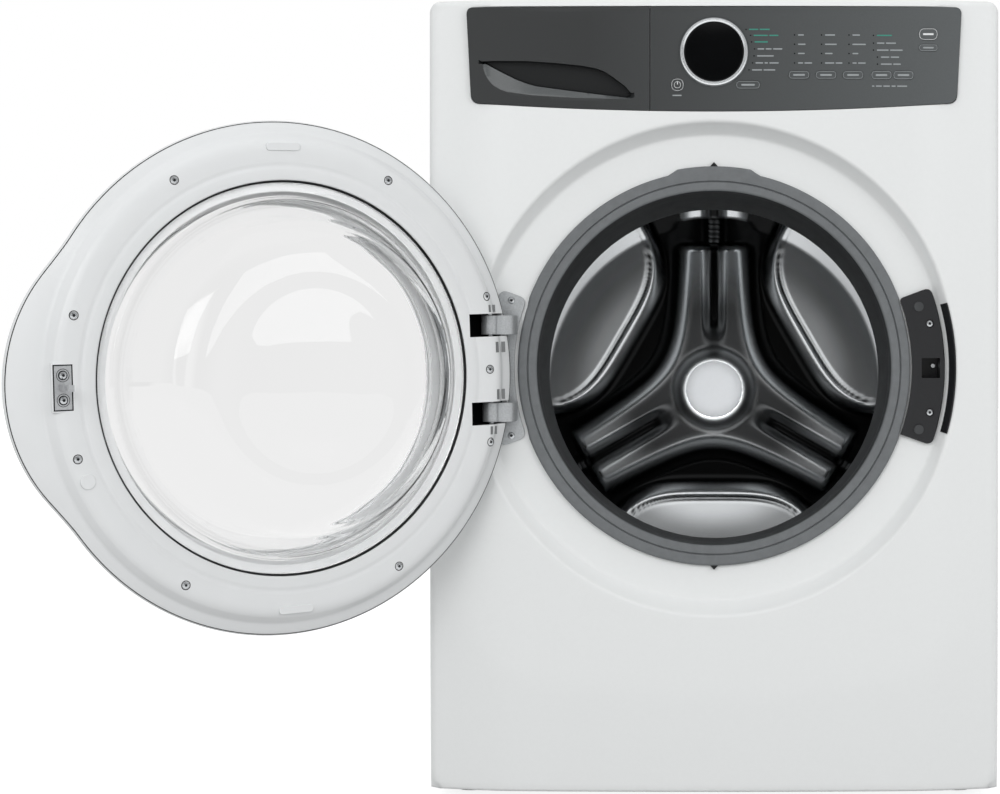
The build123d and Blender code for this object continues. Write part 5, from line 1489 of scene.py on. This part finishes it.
def mark_button(name):
    """A printed outline and a dash on one button; the power button gets a plain ring and bar."""
    low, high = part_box(f"button_{name}")
    x, z = (low.x + high.x) / 2 / MM, (low.z + high.z) / 2 / MM
    width, tall = (high.x - low.x) / MM, (high.z - low.z) / MM
    face = low.y / MM
    finish = "white_print" if name in ("power", "start") else "pale_print"
    parts = [printed_ring(x, z, width - 1.2, tall - 1.2, face)]
    if name == "power":
        parts.append(printed_ring(x, z, width - 1.6, tall - 1.6, face))
        parts.append(printed_ring(x, z, width * 0.5, tall * 0.5, face))
        parts.append(printed_bar(x - 0.5, x + 0.5, z + 2.4, 4.2, face))
    else:
        reach = width * 0.28
        parts.append(printed_bar(x - reach, x + reach, z, min(tall * 0.22, 2.2), face))
    piece_name = f"mark_{name}"
    mesh = new_mesh(piece_name, *joined(parts))
    add_piece(piece_name, mesh, finish, f"{name}_button")


# Drawer front

SCOOP_TOP = (
    (-279, 891), (-262, 891.6), (-244.7, 891.4), (-226, 891.4), (-191.5, 889), (-159.5, 885.8), (-141, 882.4),
    (-131, 878.5), (-122.4, 873), (-106.4, 861.1), (-98.4, 852),
)
SCOOP_LIP = (
    (-279, 891), (-277, 885), (-274, 875.7), (-270, 868.6), (-264.6, 862.4), (-256, 857.4), (-247.6, 854.4),
    (-218, 850.4), (-165, 847), (-101.2, 845.2), (-98.4, 846.5),
)
SCOOP_HOLLOW = (
    (-274, 888.4), (-255.2, 878.3), (-236.8, 869.1), (-225, 864.6), (-212.9, 861.2), (-178.2, 856.4),
    (-138.4, 851.3), (-102.5, 847.4),
)
SCOOP_LIP_DEPTH = 3.5
SCOOP_FLOOR_Y = DRAWER_BACK_Y - 2.5


def scoop_y(x, z):
    """The drawer front's surface: a lip that slopes into the scoop, then a hollow under a sharp edge."""
    surface = pad_y(x)
    if not SCOOP_TOP[0][0] < x < SCOOP_TOP[-1][0]:
        return surface
    top, lip, hollow = between(SCOOP_TOP, x), between(SCOOP_LIP, x), between(SCOOP_HOLLOW, x)
    if not lip < z < top:
        return surface
    slope = SCOOP_LIP_DEPTH * min((z - lip) / max(hollow - lip, 0.5), 1)
    deep = ease(hollow, hollow + 2, z) * ease(top, top - 0.7, z) * ease(-98.4, -101, x)
    return surface + slope * ease(top, top - 0.7, z) + (SCOOP_FLOOR_Y - surface - slope) * deep


def build_drawer_front():
    """The dark drawer front with its scooped grip."""
    outline = console_outline(-CONSOLE_HALF_W + CONSOLE_GAP, CONSOLE_SPLIT_X - CONSOLE_GAP / 2, CONSOLE_GAP)
    span = spaced(SCOOP_TOP[0][0] + 1, SCOOP_TOP[-1][0] - 1, 2)
    lines = [(outline, True)]
    for edge, shifts in ((SCOOP_TOP, (0, -0.7)), (SCOOP_LIP, (0,)), (SCOOP_HOLLOW, (0, 0.7, 1.3, 2))):
        inside = [x for x in span if edge[0][0] <= x <= edge[-1][0]]
        lines += [([(x, between(edge, x) + shift) for x in inside], False) for shift in shifts]
    extra = [(x, z) for x in spaced(-292, -80, 5) for z in spaced(838, 953, 5)]
    flat, faces = triangulated(lines, extra)
    kept = []
    for face in faces:
        x = sum(flat[i].x for i in face) / len(face)
        z = sum(flat[i].y for i in face) / len(face)
        if inside_outline(outline, x, z):
            kept.append(tuple(face))
    points = [(p.x, scoop_y(p.x, p.y), p.y) for p in flat]
    mesh = new_mesh("drawer_scooped_front", points, kept, closed=False)
    work = bmesh.new()
    work.from_mesh(mesh)
    bmesh.ops.delete(work, geom=[v for v in work.verts if not v.link_faces], context="VERTS")
    # The lip's faces get a paler finish as a painted highlight, and the hollow's a near black one as painted
    # shade.
    for face in work.faces:
        x, z = face.calc_center_median().xz / MM
        if SCOOP_TOP[0][0] < x < SCOOP_TOP[-1][0] and between(SCOOP_LIP, x) < z < between(SCOOP_TOP, x):
            face.material_index = 2 if z > between(SCOOP_HOLLOW, x) else 1
    rim = [e for e in work.edges if e.is_boundary]
    made = bmesh.ops.extrude_edge_only(work, edges=rim)["geom"]
    for v in (g for g in made if isinstance(g, bmesh.types.BMVert)):
        v.co.y = DRAWER_BACK_Y * MM
    bmesh.ops.holes_fill(work, edges=[e for e in work.edges if e.is_boundary], sides=0)
    work.to_mesh(mesh)
    work.free()
    finishes = ["fascia_plastic", "scoop_lip", "scoop_shade"]
    add_piece("drawer_scooped_front", mesh, finishes, "drawer", ["drawer_front"], sharp=38)


# Screws

SCREW_SPIN_STEP = 0.7
HINGE_SCREW = (-244, 81.5)
LOCK_SCREW = (259.8, 53.5)
REAR_SCREW_X = 325
REAR_SCREW_Z = (80, 350, 640, 920)


def screw_head():
    """A pan head with a six-lobed recess, facing -Y, its seat at the origin."""
    outer = [(4.3, 0), (4.3, -0.8), (3.9, -1.5), (3.1, -2.0), (2.3, -2.2)]
    rows = []
    steps = 24
    for r, y in outer:
        rows.append([(r * math.cos(t), y, r * math.sin(t)) for t in turns(steps)])
    for y, shrink in ((-2.2, 0), (-1.9, 0.1)):
        lobed = [polar(1.65 - shrink + 0.3 * math.cos(6 * t), t) for t in turns(steps)]
        rows.append([(x, y, z) for x, z in lobed])
    points, faces = loops(rows, wrap_rows=False)
    count = len(rows)
    faces.append(tuple(range((count - 1) * steps, count * steps)))
    faces.append(tuple(range(steps - 1, -1, -1)))
    mesh = new_mesh("screw_head", points, faces)
    mark = mesh.attributes.new("recess", "BOOLEAN", "FACE")
    for index, spot in enumerate(mark.data):
        spot.value = len(outer) * steps <= index <= (count - 1) * steps
    return mesh


def screw_group(name, places, turn, place=None):
    """One head at each (x, y, z) in millimetres, by a node tree, turned to face its way."""
    tree, given = new_tree(name, "Turn", "Spin Step")
    head = bpy.data.objects.new("head", screw_head())
    bpy.context.scene.collection.objects.link(head)
    shape = add_node(tree, "GeometryNodeObjectInfo", {"Object": head})
    index = add_node(tree, "GeometryNodeInputIndex").outputs[0]
    spin = worked_out(tree, "MULTIPLY", index, given["Spin Step"])
    facing = add_node(tree, "ShaderNodeCombineXYZ", {"Y": spin, "Z": given["Turn"]}).outputs[0]
    steel = set_out(tree, given["Geometry"], shape.outputs["Geometry"], facing, "bright_steel")
    recess = add_node(tree, "GeometryNodeInputNamedAttribute", {"Name": "recess"}, data_type="BOOLEAN")
    painted = add_node(tree, "GeometryNodeSetMaterial", {
        "Geometry": steel, "Selection": recess.outputs["Attribute"], "Material": FINISHES["recess_shade"]})
    add_node(tree, "NodeGroupOutput", {0: painted.outputs[0]})
    mesh = grown(tree, places, {"Turn": turn, "Spin Step": SCREW_SPIN_STEP})
    bpy.data.objects.remove(head)
    if place is not None:
        mesh.transform(place)
    return mesh


def one_mesh(name, parts, finishes):
    """Meshes joined into one, each face counting its finish along the given list of names."""
    order = [FINISHES[finish] for finish in finishes]
    work = bmesh.new()
    for part in parts:
        first = len(work.faces)
        work.from_mesh(part)
        for face in list(work.faces)[first:]:
            face.material_index = order.index(part.materials[face.material_index])
    mesh = bpy.data.meshes.new(name)
    work.to_mesh(mesh)
    work.free()
    return mesh


def build_screws():
    """All visible screw heads, one mesh for each body."""
    front = [(x, FLOOR_Y - seat, CENTRE_Z + side * dz)
             for (x, dz), seat in ((HINGE_SCREW, 3), (LOCK_SCREW, 4)) for side in (-1, 1)]
    rear_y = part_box("rear_panel")[1].y / MM
    cover_low, cover_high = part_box("rear_access_cover")
    cover_r, cover_z = cover_high.x / MM - 8, (cover_low.z + cover_high.z) / 2 / MM
    rim = [polar(cover_r, math.radians(a)) for a in range(30, 390, 60)]
    back = [(x, rear_y + 1.5, cover_z + z) for x, z in rim]
    back += [(x, rear_y, z) for x in (-REAR_SCREW_X, REAR_SCREW_X) for z in REAR_SCREW_Z]
    groups = [screw_group("cabinet_screw_heads", front, 0), screw_group("rear_screw_heads", back, math.pi)]
    finishes = ["bright_steel", "recess_shade"]
    mesh = one_mesh("cabinet_screw_heads", groups, finishes)
    add_piece("cabinet_screw_heads", mesh, finishes, "cabinet", ["cabinet_screws"])
    seats = [(x, RING_Y - 1.4 - 0.45 * max(0, math.hypot(x, z) - 262), z) for x, z in screw_places()]
    seats += [(STRIKE_X, RING_Y + 0.1, dz) for dz in (-STRIKE_SCREW_DZ, STRIKE_SCREW_DZ)]
    group = screw_group("door_screw_heads", seats, math.pi, DOOR_PLACE)
    mesh = one_mesh("door_screw_heads", [group], finishes)
    add_piece("door_screw_heads", mesh, finishes, "door", ["door_screws"])


# Springs

def build_springs():
    """The two suspension springs, which stretch between the side panels and the tub."""
    low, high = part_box("suspension_springs")
    wire, coil_r = 2.2, 13
    bottom, top = low.z / MM + wire, high.z / MM - wire
    coils = 12
    for name, x in (("left", low.x / MM + wire + coil_r), ("right", high.x / MM - wire - coil_r)):
        rows = []
        y = (low.y + high.y) / 2 / MM
        for i in range(coils * 24 + 1):
            turn = 2 * math.pi * i / 24
            z = bottom + (top - bottom) * i / (coils * 24)
            out = Vector((math.cos(turn), math.sin(turn), 0))
            middle = Vector((x, y, z)) + out * coil_r
            rows.append([middle + (out * math.cos(t) + Vector((0, 0, math.sin(t)))) * wire for t in turns(8)])
        points, faces = loops(rows, wrap_rows=False)
        count = len(points)
        faces += [tuple(range(7, -1, -1)), tuple(range(count - 8, count))]
        mesh = new_mesh(f"spring_{name}", points, faces)
        stands = ["suspension_springs"] if name == "left" else []
        piece = add_piece(f"spring_{name}", mesh, "plain_steel", None, stands)
        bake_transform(piece)


# Stage

FLOOR_HALF = 12
THROUGH_GLASS = 0.84
FLOOR_GLOW = 0.8

# What mirrors see of the surround, round the way that the drum's flats face: start, stop and both strengths
MIRROR_RISE = math.radians(7.5)
MIRROR_WAY = (0, -math.cos(MIRROR_RISE), math.sin(MIRROR_RISE))
FRONT_BAND = (-0.94, -0.4, 0.05, 0.75)
RING_BAND = (0.982, 0.953, 0, 1.55)
NEAR_BAND = (0.866, 0.94, 0, 1)
ABOVE_BAND = (0.15, 0.27, 0, 1.5)

# Each lamp's place and aim in metres, its width and height in metres and its power in watts
LAMPS = {
    "key_lamp": ((-1.0, -4.0, 2.0), (0.0, -0.3, 0.6), 2.6, 1.8, 46),
    "side_lamp": ((2.4, -3.2, 1.7), (-0.3, -0.4, 0.5), 1.8, 2.0, 25),
    "top_lamp": ((0.0, -0.9, 3.2), (0.0, -0.2, 0.5), 2.4, 1.6, 2),
}
SNOOT_POWER = 225
SNOOT_ANGLE = math.radians(1.6)
SNOOT_REACH = 3.4


def build_floor():
    """A pale floor that keeps its shadow and looks white to the camera, in mirrors and through glass."""
    mesh = bpy.data.meshes.new("studio_floor")
    corners = [(x * FLOOR_HALF, y * FLOOR_HALF, 0) for x, y in ((-1, -1), (1, -1), (1, 1), (-1, 1))]
    mesh.from_pydata(corners, [], [(0, 1, 2, 3)])
    floor = bpy.data.objects.new("studio_floor", mesh)
    bpy.context.scene.collection.objects.link(floor)
    paint, tree, skin = new_finish("studio_floor", roughness=0.8)
    skin.inputs["Base Color"].default_value = linear("#b4b4b4")
    path = add_node(tree, "ShaderNodeLightPath")
    seen = worked_out(tree, "MAXIMUM", path.outputs["Is Camera Ray"], path.outputs["Is Glossy Ray"])
    skin.inputs["Emission Color"].default_value = (1, 1, 1, 1)
    tree.links.new(worked_out(tree, "MULTIPLY", seen, FLOOR_GLOW), skin.inputs["Emission Strength"])
    even = add_node(tree, "ShaderNodeEmission", {"Strength": THROUGH_GLASS})
    either = add_node(tree, "ShaderNodeMixShader", {
        0: path.outputs["Is Transmission Ray"], 1: skin.outputs[0], 2: even.outputs[0]})
    tree.links.new(either.outputs[0], tree.nodes["Material Output"].inputs["Surface"])
    mesh.materials.append(paint)


def build_surround(fill_light):
    """A surround that is even for matt things, white to the camera, and banded for mirrors."""
    world = bpy.data.worlds.new("studio_surround")
    bpy.context.scene.world = world
    world.use_nodes = True
    tree = world.node_tree
    tree.nodes.clear()
    path = add_node(tree, "ShaderNodeLightPath").outputs
    way = add_node(tree, "ShaderNodeTexCoord").outputs["Generated"]
    split = add_node(tree, "ShaderNodeSeparateXYZ", {0: way}).outputs
    away = add_node(tree, "ShaderNodeVectorMath", {
        0: way, 1: MIRROR_WAY}, operation="DOT_PRODUCT").outputs["Value"]

    def band(value, start, stop, low, high):
        return add_node(tree, "ShaderNodeMapRange", {
            "Value": value, "From Min": start, "From Max": stop, "To Min": low, "To Max": high},
            interpolation_type="SMOOTHSTEP").outputs[0]

    def seen_by(ray, other, level):
        return add_node(tree, "ShaderNodeMix", {
            "Factor": path[ray], "A": other, "B": level}, data_type="FLOAT").outputs[0]

    front, above = band(split["Y"], *FRONT_BAND), band(split["Z"], *ABOVE_BAND)
    ring, near = band(away, *RING_BAND), band(away, *NEAR_BAND)
    core = worked_out(tree, "MULTIPLY", worked_out(tree, "MAXIMUM", ring, above), near)
    shiny = worked_out(tree, "MAXIMUM", core, front)
    level = seen_by("Is Glossy Ray", fill_light, shiny)
    level = seen_by("Is Transmission Ray", level, THROUGH_GLASS)
    level = seen_by("Is Camera Ray", level, 1.0)
    sky = add_node(tree, "ShaderNodeBackground", {"Color": (1, 1, 1, 1), "Strength": level})
    add_node(tree, "ShaderNodeOutputWorld", {"Surface": sky.outputs[0]})


def hang_lamp(name, kind, spot, way):
    """Links one lamp that shines from a spot along a way."""
    lamp = bpy.data.lights.new(name, kind)
    holder = bpy.data.objects.new(name, lamp)
    bpy.context.scene.collection.objects.link(holder)
    holder.location = spot
    holder.rotation_euler = way.to_track_quat("-Z", "Y").to_euler()
    return lamp, holder


def build_lamps():
    """Soft lamps that no mirror shows, and a narrow one that reaches the hub cap deep in the drum."""
    for name, (spot, aim, wide, tall, power) in LAMPS.items():
        lamp, holder = hang_lamp(name, "AREA", spot, Vector(aim) - Vector(spot))
        lamp.shape = "RECTANGLE"
        lamp.size = wide
        lamp.size_y = tall
        lamp.energy = power
        holder.visible_glossy = False
        holder.visible_camera = False
    hub = TUB_PLACE @ Vector((0, (DRUM_BACK_A - WEB_RISE - 15) * MM, 0))
    snoot = hang_lamp("hub_snoot", "SPOT", hub - SPIN * SNOOT_REACH, SPIN)[0]
    snoot.energy = SNOOT_POWER
    snoot.spot_size = SNOOT_ANGLE
    snoot.spot_blend = 0.2
    snoot.shadow_soft_size = 0.02


def build_camera():
    """The photograph's level camera, its picture shifted down and to the left."""
    eye = bpy.data.cameras.new("photo_camera")
    camera = bpy.data.objects.new("photo_camera", eye)
    bpy.context.scene.collection.objects.link(camera)
    camera.location = (0, EYE_Y * MM, EYE_Z * MM)
    camera.rotation_euler = (math.pi / 2, 0, 0)
    wide, tall = PHOTO_PX
    eye.sensor_width = SENSOR_MM
    eye.lens = FOCAL_PX / wide * SENSOR_MM
    eye.shift_x = -(AXIS_PX[0] - wide / 2) / wide
    eye.shift_y = -(tall / 2 - AXIS_PX[1]) / wide
    eye.clip_end = 100
    bpy.context.scene.camera = camera


def build_stage(sizes):
    """A pale floor, soft lamps, a white surround and the camera."""
    bpy.context.scene.view_settings.view_transform = "Standard"
    build_floor()
    build_surround(sizes.fill_light)
    build_lamps()
    build_camera()


# Add-on

class WasherSizes(bpy.types.PropertyGroup):
    """Sizes that a user would change."""

    hole_radius: FloatProperty(
        name="Hole radius", description="Radius of a drum drain hole", default=1.7 * MM, unit="LENGTH")
    hole_step: FloatProperty(
        name="Hole step", description="Distance between rows of drain holes", default=13 * MM, unit="LENGTH")
    hole_columns: IntProperty(name="Hole columns", description="Drain holes in one row", default=84, min=1)
    fill_light: FloatProperty(
        name="Fill light", description="Strength of the even surround light", default=0.75, min=0)


def colour_property(name, description, shade):
    """A colour that a user can change, from its sRGB hex value."""
    return FloatVectorProperty(
        name=name, description=description, subtype="COLOR", size=4, default=linear(shade))


class WasherColours(bpy.types.PropertyGroup):
    """Main colours."""

    enamel: colour_property("Enamel", "Cabinet enamel", "#e6e8e8")
    door: colour_property("Door", "Door plastic", "#dfe1e2")
    fascia: colour_property("Fascia", "Control panel plastic", "#404344")
    gasket: colour_property("Gasket", "Door gasket rubber", "#6c6f71")
    black: colour_property("Black plastic", "Lock and fittings", "#121316")
    steel: colour_property("Stainless", "Drum steel", "#d3d6d8")


class WASHER_OT_finishes(bpy.types.Operator):
    """Make every finish and give each solid its own"""

    bl_idname = "washer.finishes"
    bl_label = "Finishes"

    def execute(self, context):
        finish_solids(context.scene.washer_colours)
        return {"FINISHED"}


class WASHER_OT_front_panel(bpy.types.Operator):
    """Press the cabinet front"""

    bl_idname = "washer.front_panel"
    bl_label = "Front panel"

    def execute(self, context):
        build_front_panel()
        return {"FINISHED"}


class WASHER_OT_gasket(bpy.types.Operator):
    """Mould the door gasket"""

    bl_idname = "washer.gasket"
    bl_label = "Gasket"

    def execute(self, context):
        build_gasket()
        return {"FINISHED"}


class WASHER_OT_drum(bpy.types.Operator):
    """Make the drum's back, cap, wall, holes and lifters"""

    bl_idname = "washer.drum"
    bl_label = "Drum"

    def execute(self, context):
        build_drum_back()
        build_hub_cap()
        build_drum_wall(context.scene.washer_sizes)
        build_lifters()
        return {"FINISHED"}


class WASHER_OT_door(bpy.types.Operator):
    """Make the door's shells, ring details, glass and seal"""

    bl_idname = "washer.door"
    bl_label = "Door"

    def execute(self, context):
        build_door_shells()
        build_door_details()
        build_door_glass()
        return {"FINISHED"}


class WASHER_OT_hinge(bpy.types.Operator):
    """Bend the fixed hinge"""

    bl_idname = "washer.hinge"
    bl_label = "Hinge"

    def execute(self, context):
        build_hinge()
        return {"FINISHED"}


class WASHER_OT_lock(bpy.types.Operator):
    """Set the lock's flange, bump faces and catch"""

    bl_idname = "washer.lock"
    bl_label = "Lock"

    def execute(self, context):
        build_lock()
        return {"FINISHED"}


class WASHER_OT_console(bpy.types.Operator):
    """Make the display ring and the printed marks"""

    bl_idname = "washer.console"
    bl_label = "Control panel"

    def execute(self, context):
        build_console()
        return {"FINISHED"}


class WASHER_OT_drawer_front(bpy.types.Operator):
    """Shape the drawer's scooped front"""

    bl_idname = "washer.drawer_front"
    bl_label = "Drawer front"

    def execute(self, context):
        build_drawer_front()
        return {"FINISHED"}


class WASHER_OT_screws(bpy.types.Operator):
    """Set every visible screw head"""

    bl_idname = "washer.screws"
    bl_label = "Screws"

    def execute(self, context):
        build_screws()
        return {"FINISHED"}


class WASHER_OT_springs(bpy.types.Operator):
    """Wind the suspension springs"""

    bl_idname = "washer.springs"
    bl_label = "Springs"

    def execute(self, context):
        build_springs()
        return {"FINISHED"}


class WASHER_OT_stage(bpy.types.Operator):
    """Set the floor, lamps, surround and camera"""

    bl_idname = "washer.stage"
    bl_label = "Stage"

    def execute(self, context):
        build_stage(context.scene.washer_sizes)
        return {"FINISHED"}


OPERATORS = (
    WASHER_OT_stage, WASHER_OT_finishes, WASHER_OT_front_panel, WASHER_OT_gasket, WASHER_OT_drum,
    WASHER_OT_door, WASHER_OT_hinge, WASHER_OT_lock, WASHER_OT_console, WASHER_OT_drawer_front,
    WASHER_OT_screws, WASHER_OT_springs,
)


class WASHER_PT_panel(bpy.types.Panel):
    """Lists the pieces in the sidebar"""

    bl_idname = "WASHER_PT_panel"
    bl_label = "Washing machine"
    bl_space_type = "VIEW_3D"
    bl_region_type = "UI"
    bl_category = "Washer"

    def draw(self, context):
        for operator in OPERATORS:
            self.layout.operator(operator.bl_idname)


CLASSES = (WasherSizes, WasherColours) + OPERATORS + (WASHER_PT_panel,)


def register():
    for item in CLASSES:
        bpy.utils.register_class(item)
    bpy.types.Scene.washer_sizes = PointerProperty(type=WasherSizes)
    bpy.types.Scene.washer_colours = PointerProperty(type=WasherColours)


def unregister():
    del bpy.types.Scene.washer_sizes
    del bpy.types.Scene.washer_colours
    for item in reversed(CLASSES):
        bpy.utils.unregister_class(item)


def main():
    register()
    for operator in OPERATORS:
        group, name = operator.bl_idname.split(".")
        getattr(getattr(bpy.ops, group), name)()


if __name__ == "__main__":
    main()
